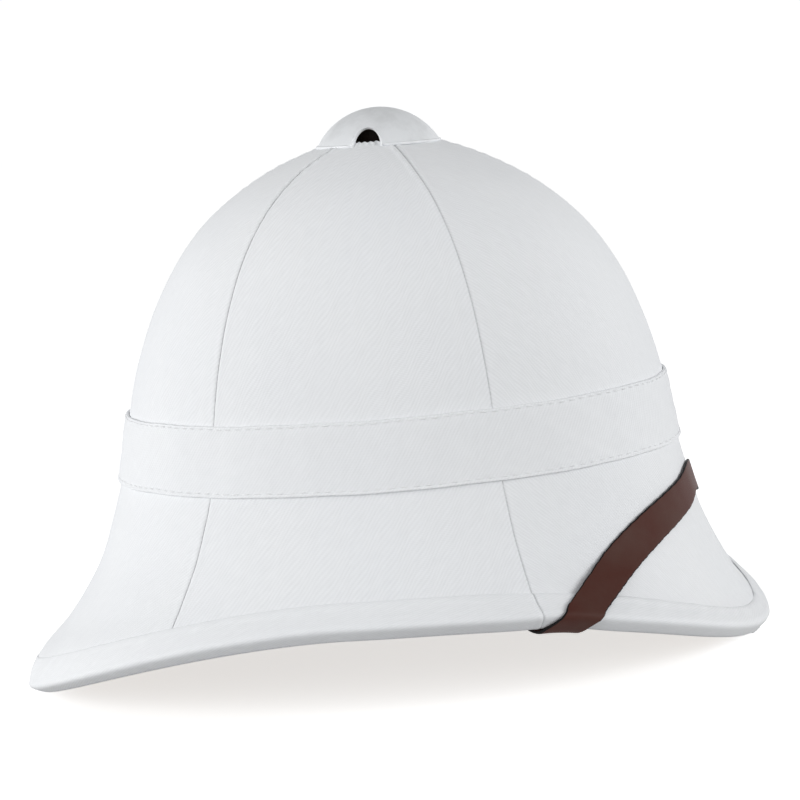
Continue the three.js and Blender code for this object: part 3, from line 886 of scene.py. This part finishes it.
class HELMET_OT_cover(bpy.types.Operator):
    """Makes the six cloth panels of the cover"""
    bl_idname = "helmet.cover"
    bl_label = "Cover panels"

    def execute(self, context):
        sizes = context.scene.helmet_sizes
        for index, place in enumerate(PANEL_PLACES):
            for side, word in ((1, "right"), (-1, "left")):
                name = f"cover_panel_{place}_{word}"
                angle = PANEL_RIB_ANGLES[index] if side > 0 else 180.0 - PANEL_RIB_ANGLES[index]
                material = drill_material(f"{place} {word} panel", context.scene.helmet_colours,
                                          angle, sizes.twill_pitch * PANEL_PITCHES[index])
                outer, inner, uv, seam = panel_rings(index, index + 1, side, sizes)
                piece = cloth_piece(f"cloth_{name}", outer, inner, False, uv, seam, 50)
                finish_piece(piece, material, "cover_cloth", name)
                declare_sheet(outer, False)
        return {"FINISHED"}


def band_face(drop, sizes, along):
    """Lift of the band's face: flat cloth with a slack ripple along it, pulled in at each stitch row
    and rounded over at its folded edges. Drop is the way down from its upper edge."""
    upper = drop - UPPER_STITCH_ROW
    lower = BAND_HEIGHT - LOWER_STITCH_ROW - drop
    pull = 0.6 + 0.4 * np.cos(2 * np.pi * along / sizes.stitch_pitch)
    dent = STITCH_DENT * pull * (bell(upper, UPPER_DENT_REACH) + bell(lower, LOWER_DENT_REACH))
    slack = ripple(along, BAND_SLACK) + ripple(along + 1.6 * drop, BAND_SLANTED_SLACK)
    from_below = BAND_HEIGHT - drop
    hold = smoothstep(drop, 0.0, BAND_UPPER_HOLD) * smoothstep(from_below, 0.0, BAND_LOWER_HOLD)
    welt = BAND_WELT * bell(from_below - BAND_WELT_PLACE, BAND_WELT_REACH)
    middle = drop - 0.5 * BAND_HEIGHT + ripple(along, BAND_CREASE_ROUTE)
    faded = 0.5 + 0.5 * np.sin(2 * np.pi * along / BAND_CREASE_LENGTH - 1.2)
    crease = BAND_CREASE * bell(middle, BAND_CREASE_REACH) * faded
    return GAP + BAND_THICKNESS + slack * (0.45 + 0.55 * hold) + welt - dent - crease


def band_wander(along):
    """How far the band strays up or down from its hoops, as a share of its height."""
    return ripple(along, BAND_WANDER) / BAND_HEIGHT


class HELMET_OT_band(bpy.types.Operator):
    """Makes the folded cloth band round the crown"""
    bl_idname = "helmet.band"
    bl_label = "Crown band"

    def execute(self, context):
        sizes = context.scene.helmet_sizes
        turn = around(BAND_COLUMNS)[:, None]
        along = running_length(position(turn, UNDER_BAND_HOOP))
        down = crowded_ends(BAND_ROWS, BAND_CROWDING)[None, :]
        drop = down * BAND_HEIGHT
        hoop = BAND_TOP_HOOP + down + band_wander(along)
        inset = np.clip(1 - np.minimum(drop, BAND_HEIGHT - drop) / BAND_EDGE_ROUND, 0, 1)
        middle = GAP + BAND_THICKNESS * 0.45
        lift = middle + (band_face(drop, sizes, along) - middle) * np.sqrt(1 - inset ** 2)
        outer = skin(turn, hoop, lift)
        inner = skin(turn, hoop, CLOTH_UNDERSIDE)
        uv = np.stack(np.broadcast_arrays(-along, -drop), -1)
        material = drill_material(
            "band", context.scene.helmet_colours, BAND_RIB_ANGLE, sizes.twill_pitch * BAND_PITCH)
        piece = cloth_piece("cloth_band", outer, inner, True, uv, np.zeros(hoop.shape), 60)
        finish_piece(piece, material, "band_cloth", "crown_band")
        declare_sheet(outer, True)
        return {"FINISHED"}


def stitch_rings(length, radius):
    """A stitch lying along x: rings of six points whose radius rises and falls as the root of a
    parabola, so that both ends dive into the cloth."""
    share = np.linspace(-1.0, 1.0, STITCH_RINGS)[:, None]
    swell = radius * np.sqrt(np.maximum(1 - share ** 4, 0.02))
    angle = np.linspace(0, 2 * np.pi, STITCH_SIDES, endpoint=False)
    z = swell * np.sin(angle) - 0.6 * radius * share ** 2
    return np.stack(np.broadcast_arrays(share * length / 2, swell * np.cos(angle), z), -1)


def place_stitches(name, centres, alongs, normals, length, radius):
    """Many copies of one stitch, each turned to its own direction and normal, as one mesh."""
    rings = stitch_rings(length, radius)
    local = rings.reshape(-1, 3)
    sideways = unit(np.cross(normals, alongs))
    points = (centres[:, None] + local[None, :, :1] * alongs[:, None]
              + local[None, :, 1:2] * sideways[:, None] + local[None, :, 2:] * normals[:, None])
    quads = loft_faces(*rings.shape[:2], False)
    all_quads = quads[None] + (np.arange(len(centres)) * len(local))[:, None, None]
    return new_mesh(name, points.reshape(-1, 3), all_quads.reshape(-1, 4))


class HELMET_OT_stitches(bpy.types.Operator):
    """Makes the rows of stitches along both edges of the band"""
    bl_idname = "helmet.stitches"
    bl_label = "Band stitches"

    def execute(self, context):
        sizes = context.scene.helmet_sizes
        material = thread_material(context.scene.helmet_colours)
        fine = around(STITCH_TURNS)
        along = running_length(position(fine, UNDER_BAND_HOOP))
        marks = np.arange(sizes.stitch_pitch * 0.5, along[-1], sizes.stitch_pitch)
        turns = np.interp(marks, along, fine)
        for word, drop in (("upper", UPPER_STITCH_ROW), ("lower", BAND_HEIGHT - LOWER_STITCH_ROW)):
            hoop = BAND_TOP_HOOP + drop / BAND_HEIGHT
            lift = band_face(drop, sizes, marks) + STITCH_LIFT
            centres = skin(turns, hoop + band_wander(marks), lift)
            alongs = unit(position(turns + 0.1, hoop) - position(turns - 0.1, hoop))
            normals, _ = slopes(turns, hoop)
            piece = place_stitches(f"band_stitches_{word}", centres, alongs, normals,
                                   sizes.stitch_length, sizes.thread_radius)
            finish_piece(piece, material, "band_cloth")
        return {"FINISHED"}


def binding_width(turn):
    """How far the binding reaches up the brim: a little less round the front tip."""
    return BINDING_WIDTH - BINDING_FRONT_NARROWING * bell(turn, BINDING_FRONT_TURN)


def binding_lift(turn, rise, along):
    """Lift of the binding above its plain face: a soft welt at the folded edge, and slanting puckers
    of the bias cut, strongest round the front and rear."""
    tight = np.cos(np.radians(turn)) ** 2
    pucker = ripple(along + BIAS_SLANT * rise, BINDING_PUCKERS)
    pucker *= (0.35 + 0.65 * tight) * smoothstep(rise, *PUCKER_RISE)
    behind = smoothstep(np.abs(turn), *BINDING_WELT_FADE)
    from_welt = rise - binding_width(turn) + BINDING_WELT_REACH
    welt = BINDING_WELT * (1 - behind) * bell(from_welt, BINDING_WELT_REACH)
    return pucker + welt


class HELMET_OT_binding(bpy.types.Operator):
    """Makes the bias strip folded over the rim, with its sewn join on the wearer's right"""
    bl_idname = "helmet.binding"
    bl_label = "Brim binding"

    def execute(self, context):
        sizes = context.scene.helmet_sizes
        near_join = JOIN_TURN + np.linspace(-JOIN_HALF_TURN, JOIN_HALF_TURN, JOIN_COLUMNS)
        turn = np.unique(np.concatenate((around(BINDING_COLUMNS), near_join)))[:, None]
        along = running_length(position(turn, LAST_HOOP))
        start = edge_start(turn)
        width = binding_width(turn)
        share = np.linspace(0.0, 1.0, BINDING_FACE_ROWS) ** BINDING_CROWDING
        rise = width + (start - width) * share
        join_reach = np.hypot(*position(JOIN_TURN, LAST_HOOP)[:2])
        from_join = np.radians(turn - JOIN_TURN) * join_reach
        groove = bell(from_join, JOIN_GROOVE_REACH)
        join = JOIN_RIDGE * bell(from_join - JOIN_RIDGE_PLACE, 1.0) - JOIN_GROOVE * groove
        fold = np.clip((width - rise) / BINDING_FOLD, 0.0, 1.0)
        thinning = BINDING_THINNING + FRONT_THINNING * bell(turn, FRONT_THINNING_TURN)
        thinned = thinning * bell(width - rise, BINDING_THINNING_REACH)
        foot = GAP * 0.8
        full = BINDING_FACE + binding_lift(turn, rise, along) + join - thinned
        lift = foot + (full - foot) * np.sqrt(1 - (1 - fold) ** 2)
        shares = np.linspace(0.0, 1.0, EDGE_ROWS)[1:-1]
        edge_rise = start - PUCKER_RUN_OVER_EDGE * shares
        edge_lift = (binding_lift(turn, edge_rise, along) + join) * (1 - shares)
        hoop = hoop_above(turn, rise)
        under_hoop = hoop_above(turn, rise[:, ::-4])
        outer = np.concatenate((
            skin(turn, hoop, lift),
            edge_point(turn, shares, edge_lift),
            skin(turn, under_hoop, -BINDING_UNDER)), axis=1)
        inner = np.concatenate((
            skin(turn, hoop, CLOTH_UNDERSIDE),
            edge_point(turn, shares, -BINDING_THICKNESS),
            skin(turn, under_hoop, BINDING_THICKNESS - BINDING_UNDER)), axis=1)
        down = running_length(outer, 1)
        uv = np.stack(np.broadcast_arrays(-along, -down), -1)
        # Painted shade: the join's groove is darkened in the colour through the seam attribute.
        seam = np.broadcast_to(groove, down.shape)
        material = drill_material("bias binding", context.scene.helmet_colours, BINDING_RIB_ANGLE,
                                  sizes.twill_pitch * BINDING_PITCH)
        piece = cloth_piece("cloth_binding", outer, inner, True, uv, seam, 60)
        press_flat(piece)
        finish_piece(piece, material, "binding_cloth", "brim_binding")
        declare_sheet(outer, True)
        return {"FINISHED"}


def press_flat(piece):
    """The rim is pressed flat where it meets the ground."""
    mesh = piece.data
    points = np.empty(len(mesh.vertices) * 3, dtype=np.float32)
    mesh.vertices.foreach_get("co", points)
    height = points[2::3]
    points[2::3] = np.where(height < REST_PRESS * MM, 0.0, height)
    mesh.vertices.foreach_set("co", points)
    mesh.update()


# Ventilator


def close_poles(piece):
    """Merges the points that meet at a pole, and turns every face outward again."""
    mesh = piece.data
    body = bmesh.new()
    body.from_mesh(mesh)
    bmesh.ops.remove_doubles(body, verts=body.verts, dist=1e-7)
    bmesh.ops.recalc_face_normals(body, faces=body.faces)
    body.to_mesh(mesh)
    body.free()


def vent_foot(radius):
    """Height of the ventilator's under side, which rests just above the cover and slopes with it."""
    hole, ring = CROWN_HOOPS[0], CROWN_HOOPS[1]
    slope = (ring[0] - hole[0]) / (ring[2] - hole[2])
    return ring[0] + slope * (radius - ring[2]) + VENT_CLEARANCE


def cap_sphere(half_width, cap_height):
    """Radius of the sphere that a cap is cut from."""
    return (half_width ** 2 + cap_height ** 2) / (2 * cap_height)


def cap_face(height, half_width, cap_height, count):
    """Radii and heights down a spherical cap that stands on the lip, from its pole to a height over
    the lip's under side, at even angles: r = R sin a, z = cap height - R (1 - cos a)."""
    sphere = cap_sphere(half_width, cap_height)
    above_lip = height - VENT_LIP_THICKNESS
    reach = np.arccos(np.clip(1 - (cap_height - above_lip) / sphere, -1.0, 1.0))
    angle = reach[:, None] * np.linspace(0.0, 1.0, count)[None, :]
    return sphere * np.sin(angle), cap_height - sphere * (1 - np.cos(angle)) + VENT_LIP_THICKNESS


def vent_columns():
    """Angles round the dome, and at each the height of the arch over the lip's under side. The arch is
    half an ellipse; beside it the height is the lip's top, where the dome ends."""
    bow = np.radians(np.linspace(-90.0, 90.0, VENT_ARCH_COLUMNS))
    height = VENT_ARCH_SILL + VENT_ARCH_HEIGHT * np.cos(bow)
    sphere = cap_sphere(VENT_DOME_RADIUS, VENT_DOME_HEIGHT)
    above_rim = np.maximum(height - VENT_LIP_THICKNESS, 0.1)
    radius = np.sqrt(sphere ** 2 - (above_rim + sphere - VENT_DOME_HEIGHT) ** 2)
    across = np.arcsin(VENT_ARCH_WIDTH / 2 * np.sin(bow) / radius)
    edge = across[-1] + VENT_ARCH_GAP
    beside = edge + VENT_BESIDE_ARCH * np.linspace(0.0, 1.0, 9)[:-1] ** 1.5
    plain = np.concatenate((beside, np.linspace(edge + VENT_BESIDE_ARCH, np.pi / 2, 22)))
    plain = np.concatenate((plain, np.pi - plain[-2::-1]))
    angle = np.concatenate((across, plain, np.pi + across, np.pi + plain))
    arch = np.concatenate((height, np.full(len(plain), VENT_LIP_THICKNESS)) * 2)
    is_arch = np.concatenate((np.ones(len(across), bool), np.zeros(len(plain), bool)) * 2)
    return angle[:, None], arch, is_arch[:, None]


def lip_section():
    """Radii and heights over the lip's under side: from the dome's foot out round the lip's edge and
    back under it to the inside."""
    half = VENT_LIP_THICKNESS / 2
    lip = np.radians(np.linspace(90.0, -90.0, 7))
    inner = VENT_LIP_RADIUS - VENT_LIP_WIDTH
    under = np.array((VENT_LIP_RADIUS - 1.3, inner + 0.2, inner))
    seated = VENT_CLEARANCE - 0.05
    radii = np.concatenate((
        (VENT_DOME_RADIUS + 0.2,), VENT_LIP_RADIUS - half + half * np.cos(lip), under, (inner,)))
    edge = half + half * np.sin(lip)
    edge = edge - seated * smoothstep(-edge, -half, 0.0)
    below = vent_foot(under) - vent_foot(VENT_LIP_RADIUS) + np.array((-seated, -seated, 0.3))
    heights = np.concatenate(((VENT_LIP_THICKNESS + 0.05,), edge, below, (VENT_LIP_THICKNESS,)))
    return radii, heights


def vent_grid():
    """The ventilator as columns round its axis: down the dome's outer face, round the lip, and up the
    inner face. At an air hole the lip's points lie across the wall instead, rounded, along the arch,
    and the wall round the hole is turned out a little."""
    angle, arch, is_arch = vent_columns()
    outer_r, outer_z = cap_face(arch, VENT_DOME_RADIUS, VENT_DOME_HEIGHT, VENT_OUTER_ROWS)
    inner_r, inner_z = cap_face(
        arch, VENT_LIP_RADIUS - VENT_LIP_WIDTH, VENT_DOME_HEIGHT - VENT_WALL, VENT_INNER_ROWS)
    lip_r, lip_z = lip_section()
    share = np.linspace(0.0, 1.0, len(lip_r))
    across_r = outer_r[:, -1:] + (inner_r[:, -1:] - outer_r[:, -1:]) * share
    lip_r = np.where(is_arch, across_r, lip_r)
    lip_z = np.where(is_arch, arch[:, None], lip_z)
    radius = np.concatenate((outer_r, lip_r, inner_r[:, ::-1]), axis=1)
    height = np.concatenate((outer_z, lip_z, inner_z[:, ::-1]), axis=1)
    rim = outer_r.shape[1]
    draw = np.zeros(radius.shape)
    draw[:, rim:rim + share.size] = is_arch * VENT_EDGE_ROUND * np.sin(np.pi * share)
    middle = np.where(np.cos(angle) > 0, 0.0, np.pi)
    spread = (angle - middle + np.pi) % (2 * np.pi) - np.pi
    turned = middle + spread * (1 - draw)
    height = VENT_ARCH_SILL + (height - VENT_ARCH_SILL) * (1 - draw)
    sideways = radius * np.sin(spread)
    above_sill = (height - VENT_ARCH_SILL) / VENT_ARCH_HEIGHT
    around_arch = np.hypot(sideways / (VENT_ARCH_WIDTH / 2), above_sill)
    near_arch = bell((around_arch - 1) * VENT_ARCH_WIDTH / 2, VENT_FLARE_REACH)
    depth = np.concatenate((np.zeros(rim), share, np.ones(inner_r.shape[1])))
    flare = (VENT_FLARE - (VENT_FLARE + VENT_JAMB) * depth) * near_arch
    radius = radius + flare * smoothstep(radius, *VENT_FLARE_RADII)
    points = np.stack((radius * np.cos(turned), radius * np.sin(turned), height), -1)
    # Mask of the inner face, which the enamel material colours with painted shade.
    inside = np.zeros(radius.shape)
    inside[:, rim + share.size - 1:] = 1.0
    return points, inside


def vent_shade_rings():
    """A dark tube of painted shade round the neck under the dome, as rings of its outer and inner face.
    """
    angle = np.linspace(0.0, 2 * np.pi, SHADE_TUBE_COLUMNS, endpoint=False)[:, None]
    height = vent_foot(VENT_LIP_RADIUS) + np.linspace(SHADE_TUBE_FOOT, SHADE_TUBE_TOP, SHADE_TUBE_ROWS)
    height = np.concatenate((height, height[::-1]))
    radius = np.repeat((SHADE_TUBE_RADIUS, SHADE_TUBE_RADIUS - SHADE_TUBE_THICKNESS), SHADE_TUBE_ROWS)
    return np.stack(np.broadcast_arrays(
        radius * np.cos(angle), radius * np.sin(angle) - VENT_FORWARD, height), -1)


class HELMET_OT_ventilator(bpy.types.Operator):
    """Makes the domed ventilator with its two arched air holes, and the dark tube of painted shade under
    it
    """
    bl_idname = "helmet.ventilator"
    bl_label = "Ventilator"

    def execute(self, context):
        colours = context.scene.helmet_colours
        points, inside = vent_grid()
        hole_height = CROWN_HOOPS[0, 0]
        lean = np.arctan(VENT_LEAN)
        height = points[..., 2] + vent_foot(VENT_LIP_RADIUS) - hole_height
        y = points[..., 1] * np.cos(lean) - height * np.sin(lean) - VENT_FORWARD
        z = points[..., 1] * np.sin(lean) + height * np.cos(lean) + hole_height
        rings = np.stack((points[..., 0], y, z), -1)
        quads = loft_faces(*rings.shape[:2], True, open_section=True)
        piece = new_mesh("enamelled_ventilator", rings.reshape(-1, 3), quads, None, {"inside": inside})
        close_poles(piece)
        piece.data.set_sharp_from_angle(angle=np.radians(48))
        finish_piece(piece, enamel_material(colours), "vent_paint", "ventilator")
        # The dark tube under the dome is painted shade
        gauze = loft_piece("vent_shade_tube", vent_shade_rings(), True, 50)
        finish_piece(gauze, vent_shade_material(colours), "vent_paint")
        return {"FINISHED"}


# Strap and studs


def strap_lift(run):
    """The strap lies on the binding near the rim and sinks to the cover further up."""
    free = smoothstep(np.abs(run + FOLD_MIDDLE), STRAP_LAY_REACH, STRAP_FREE_REACH)
    return STRAP_CLEARANCE - free * STRAP_SINK


def strap_path(step):
    """The strap's route, mirrored to both sides, at even steps of its length."""
    half = STRAP_ROUTE * np.array((ROUTE_SCALE, 1.0))
    whole = np.vstack((half[:0:-1] * np.array((-1.0, 1.0)), half))
    fine = spline(whole[None], np.linspace(0, len(whole) - 1, 6001))
    length = running_length(fine)
    marks = np.linspace(0.0, length[-1], int(length[-1] / step))
    middle = np.stack([np.interp(marks, length, fine[:, k]) for k in range(2)], -1)
    return middle, np.gradient(middle, axis=0)


def strap_section():
    """Across shares and heights round the strap's section: a flat face with rounded corners, and back
    along its under side. Heights are shares of its thickness."""
    corner = np.radians(np.linspace(0, 90, 5))
    radius = STRAP_CORNER / STRAP_WIDTH
    left_height = 0.5 + 0.5 * np.sin(corner)
    left_across = -0.5 + radius * (1 - np.cos(corner))
    flat = np.linspace(-0.5 + radius, 0.5 - radius, 11)[1:-1]
    across = np.concatenate((left_across, flat, -left_across[::-1]))
    height = np.concatenate((left_height, np.ones(len(flat)), left_height[::-1]))
    return across, height, 1 - height


class HELMET_OT_strap(bpy.types.Operator):
    """Makes the leather chin strap over the front of the brim"""
    bl_idname = "helmet.strap"
    bl_label = "Chin strap"

    def execute(self, context):
        middle, heading = strap_path(STRAP_STEP)
        turn = middle[:, :1] / ROUTE_SCALE
        run = middle[:, 1:]
        a_degree_on = wrap_point(turn + 1, run, 0.0) - wrap_point(turn, run, 0.0)
        degree = np.linalg.norm(a_degree_on, axis=-1)
        along = unit(np.hstack((heading[:, :1] / ROUTE_SCALE * degree, heading[:, 1:])))
        sideways, upward = along[:, :1], along[:, 1:]
        mitre = 1 - smoothstep(np.abs(run + FOLD_MIDDLE), STRAP_FOLD_REACH, STRAP_MITRE_REACH)
        steep = np.where(np.abs(upward) < STRAP_LEVEL, 1.0, upward)
        shear = np.where(mitre > 0, -mitre * sideways / steep, 0.0)
        across, height, under = strap_section()
        drawn_in = 1 - STRAP_DRAWN_IN * bell(run + FOLD_MIDDLE / 2, STRAP_DRAWN_IN_REACH)
        distance = running_length(wrap_point(turn, run, STRAP_CLEARANCE)[:, 0])[:, None]
        at_edge = (np.abs(across) > STRAP_EDGE_SHARE) * np.sign(across)
        shift = across * STRAP_WIDTH * drawn_in + ripple(distance, STRAP_FRAY) * at_edge
        turns = turn + shift * (shear * sideways - upward) / degree
        runs = run + shift * (sideways + shear * upward)
        lift = strap_lift(runs) + np.maximum(ripple(distance, STRAP_WAVES), 0)
        faces = [wrap_point(turns, runs, lift + STRAP_THICKNESS * share) for share in (height, under)]
        half = STRAP_WIDTH / 2
        edge = smoothstep(
            np.abs(across) * STRAP_WIDTH, half - STRAP_PAINTED_FROM, half - STRAP_PAINTED_TO)
        edge = np.broadcast_to(edge, turns.shape)
        uv = np.stack(np.broadcast_arrays(shift, distance), -1)
        piece = loft_piece("leather_chin_strap", there_and_back(*faces), False, 60,
                           there_and_back(uv, uv), {"edge": there_and_back(edge, edge)})
        material = leather_material(context.scene.helmet_colours)
        finish_piece(piece, material, "strap_leather", "chin_strap")
        return {"FINISHED"}


def stud_profile():
    """The stud's half section: a low domed head and a stem, with a tiny hole left along its axis."""
    rim = np.linspace(0, np.pi / 2, 8)
    head_r = STUD_HEAD_RADIUS * np.cos(rim)
    head_z = STUD_RIM + (STUD_HEAD_THICKNESS - STUD_RIM) * np.sin(rim)
    head_r[-1] = STUD_HOLE_RADIUS
    radii = np.concatenate((head_r, (
        STUD_HOLE_RADIUS, STUD_STEM_RADIUS - 0.3, STUD_STEM_RADIUS, STUD_STEM_RADIUS,
        STUD_HEAD_RADIUS - 0.2)))
    heights = np.concatenate((head_z, (
        -STUD_STEM_LENGTH, -STUD_STEM_LENGTH, 0.3 - STUD_STEM_LENGTH, 0.0, 0.0)))
    return radii, heights


class HELMET_OT_studs(bpy.types.Operator):
    """Makes the stud that holds each hidden end of the strap"""
    bl_idname = "helmet.studs"
    bl_label = "Strap studs"

    def execute(self, context):
        material = brass_material(context.scene.helmet_colours)
        profile_r, profile_z = stud_profile()
        angle = np.linspace(0, 2 * np.pi, STUD_SIDES, endpoint=False)[:, None, None]
        for side, word in ((1, "right"), (-1, "left")):
            turn = side * STUD_TURN
            foot = wrap_point(turn, STUD_RUN, strap_lift(STUD_RUN) + STRAP_THICKNESS + GAP)
            inward = unit(foot - wrap_point(turn, STUD_RUN, 0.0))
            across = unit(np.cross(inward, np.array((0.0, 0.0, 1.0))))
            upward = np.cross(across, inward)
            spin = across * np.cos(angle) + upward * np.sin(angle)
            rings = foot + spin * profile_r[None, :, None] + inward * profile_z[None, :, None]
            piece = loft_piece(f"brass_stud_{word}", rings, True, 40)
            finish_piece(piece, material, "stud_brass", f"strap_stud_{word}")
        return {"FINISHED"}


# Shell


class HELMET_OT_shell(bpy.types.Operator):
    """Makes the cork shell that carries the cover"""
    bl_idname = "helmet.shell"
    bl_label = "Cork shell"

    def execute(self, context):
        turn = around(SHELL_COLUMNS)[:, None]
        hoop = np.linspace(0.0, 1.0, SHELL_ROWS) * hoop_above(turn, RIM_SETBACK + nip(turn))
        rings = there_and_back(skin(turn, hoop, -SHELL_OUTER), skin(turn, hoop, -SHELL_INNER))
        piece = loft_piece("cork_body", rings, True, 50)
        finish_piece(piece, cork_material(context.scene.helmet_colours), "cork", "cork_shell")
        return {"FINISHED"}


# Stage


def camera_axes():
    """The camera's right, up and backward directions in the helmet's level frame, after the right and
    up that it would have without its roll."""
    azimuth = np.radians(-90 + CAMERA_TURN)
    elevation = np.radians(CAMERA_ELEVATION)
    roll = np.radians(CAMERA_ROLL)
    back = np.array((np.sin(azimuth) * np.cos(elevation), -np.cos(azimuth) * np.cos(elevation),
                     np.sin(elevation)))
    level = np.array((np.cos(azimuth), np.sin(azimuth), 0.0))
    above = np.cross(back, level)
    right = level * np.cos(roll) - above * np.sin(roll)
    up = level * np.sin(roll) + above * np.cos(roll)
    return level, above, right, up, back


def put(context, name, data, axes, place):
    """A camera or a light at a place in metres, with its own right, up and backward directions."""
    piece = bpy.data.objects.new(name, data)
    turned = Matrix(np.array(axes).T.tolist()).to_4x4()
    piece.matrix_world = Matrix.Translation(place.tolist()) @ turned
    context.scene.collection.objects.link(piece)
    return piece


class HELMET_OT_stage(bpy.types.Operator):
    """Makes the floor, the soft lights and the camera"""
    bl_idname = "helmet.stage"
    bl_label = "Stage"

    def execute(self, context):
        level, above, right, up, back = camera_axes()
        eye = level * CAMERA_SHIFT_RIGHT + above * CAMERA_SHIFT_UP + back * CAMERA_DISTANCE
        origin = stand(np.zeros(3))
        axes = [stand(axis) - origin for axis in (right, up, back)]
        data = bpy.data.cameras.new("camera")
        data.sensor_width = CAMERA_SENSOR
        data.lens = CAMERA_SENSOR * CAMERA_DISTANCE / (MM_PER_PIXEL * IMAGE_PIXELS)
        data.clip_end = CAMERA_FAR
        place = stand(eye) * MM
        context.scene.camera = put(context, "camera", data, axes, place)
        self.make_floor(context)
        self.make_lights(context, np.arctan2(place[1], place[0]))
        self.make_world(context)
        context.scene.view_settings.view_transform = "Standard"
        return {"FINISHED"}

    def make_floor(self, context):
        """A flat pale floor, wide enough to reach past the view. It sends no light back to the helmet,
        whose under side is lit by the dim lower part of the world instead."""
        corners = [(x * FLOOR_HALF, y * FLOOR_HALF, 0.0)
                   for x, y in ((-1, -1), (1, -1), (1, 1), (-1, 1))]
        mesh = bpy.data.meshes.new("floor")
        mesh.from_pydata(corners, [], [(0, 1, 2, 3)])
        floor = bpy.data.objects.new("floor", mesh)
        context.scene.collection.objects.link(floor)
        material, tree, _ = start_material("matt white paper")
        finish_material(tree, {
            "Base Color": (0.9, 0.9, 0.9, 1.0), "Roughness": 1.0, "Specular IOR Level": 0.0,
            "Emission Color": (1.0, 1.0, 1.0, 1.0), "Emission Strength": FLOOR_GLOW})
        mesh.materials.append(material)
        floor.visible_diffuse = False

    def make_lights(self, context, camera_azimuth):
        """Large soft panels on both sides of the camera, aimed at the middle of the crown."""
        for name, azimuth, elevation, distance, size, power in LIGHTS:
            data = bpy.data.lights.new(name, "AREA")
            data.shape = "DISK"
            data.size = size
            data.energy = power
            a = camera_azimuth - np.radians(azimuth)
            e = np.radians(elevation)
            away = np.array((np.cos(a) * np.cos(e), np.sin(a) * np.cos(e), np.sin(e)))
            level = unit(np.cross((0.0, 0.0, 1.0), away))
            place = np.array(LIGHT_AIM) + away * distance
            put(context, name, data, (level, np.cross(away, level), away), place)

    def make_world(self, context):
        """White all round at eye level, dimmer overhead and below, as in a tent lit through its sides."""
        world = bpy.data.worlds.new("studio")
        world.use_nodes = True
        tree = world.node_tree
        tree.nodes.clear()
        direction = add_node(tree, "TexCoord", {}, "Generated")
        height = add_node(tree, "SeparateXYZ", {"Vector": direction}, "Z")
        above = add_node(tree, "MapRange", {
            "Value": height, "From Min": 0.1, "From Max": 0.5, "To Min": SKY_SIDE, "To Max": SKY_TOP})
        below = add_node(tree, "MapRange", {
            "Value": height, "From Min": -0.05, "From Max": -0.02, "To Min": SKY_BELOW,
            "To Max": SKY_SIDE})
        strength = add_node(tree, "Math", {0: above, 1: below}, operation="MINIMUM")
        background = add_node(tree, "Background", {"Color": SKY_COLOUR, "Strength": strength})
        add_node(tree, "OutputWorld", {"Surface": background})
        context.scene.world = world


class HELMET_PT_pieces(bpy.types.Panel):
    """Sizes, colours and a button for each group of pieces"""
    bl_label = "Sun helmet"
    bl_idname = "HELMET_PT_pieces"
    bl_space_type = "VIEW_3D"
    bl_region_type = "UI"
    bl_category = "Helmet"

    def draw(self, context):
        for group in (context.scene.helmet_sizes, context.scene.helmet_colours):
            box = self.layout.box()
            for key in group.bl_rna.properties.keys():
                if key not in ("rna_type", "name"):
                    box.prop(group, key)
        for operator in OPERATORS:
            self.layout.operator(operator.bl_idname)


OPERATORS = (
    HELMET_OT_shell,
    HELMET_OT_cover,
    HELMET_OT_band,
    HELMET_OT_stitches,
    HELMET_OT_binding,
    HELMET_OT_ventilator,
    HELMET_OT_strap,
    HELMET_OT_studs,
    HELMET_OT_stage,
)
CLASSES = (HelmetSizes, HelmetColours, *OPERATORS, HELMET_PT_pieces)


def register():
    for cls in CLASSES:
        bpy.utils.register_class(cls)
    bpy.types.Scene.helmet_sizes = bpy.props.PointerProperty(type=HelmetSizes)
    bpy.types.Scene.helmet_colours = bpy.props.PointerProperty(type=HelmetColours)


def unregister():
    del bpy.types.Scene.helmet_colours
    del bpy.types.Scene.helmet_sizes
    for cls in reversed(CLASSES):
        bpy.utils.unregister_class(cls)


def main():
    register()
    bpy.ops.helmet.shell()
    bpy.ops.helmet.cover()
    bpy.ops.helmet.band()
    bpy.ops.helmet.stitches()
    bpy.ops.helmet.binding()
    bpy.ops.helmet.ventilator()
    bpy.ops.helmet.strap()
    bpy.ops.helmet.studs()
    bpy.ops.helmet.stage()


if __name__ == "__main__":
    main()
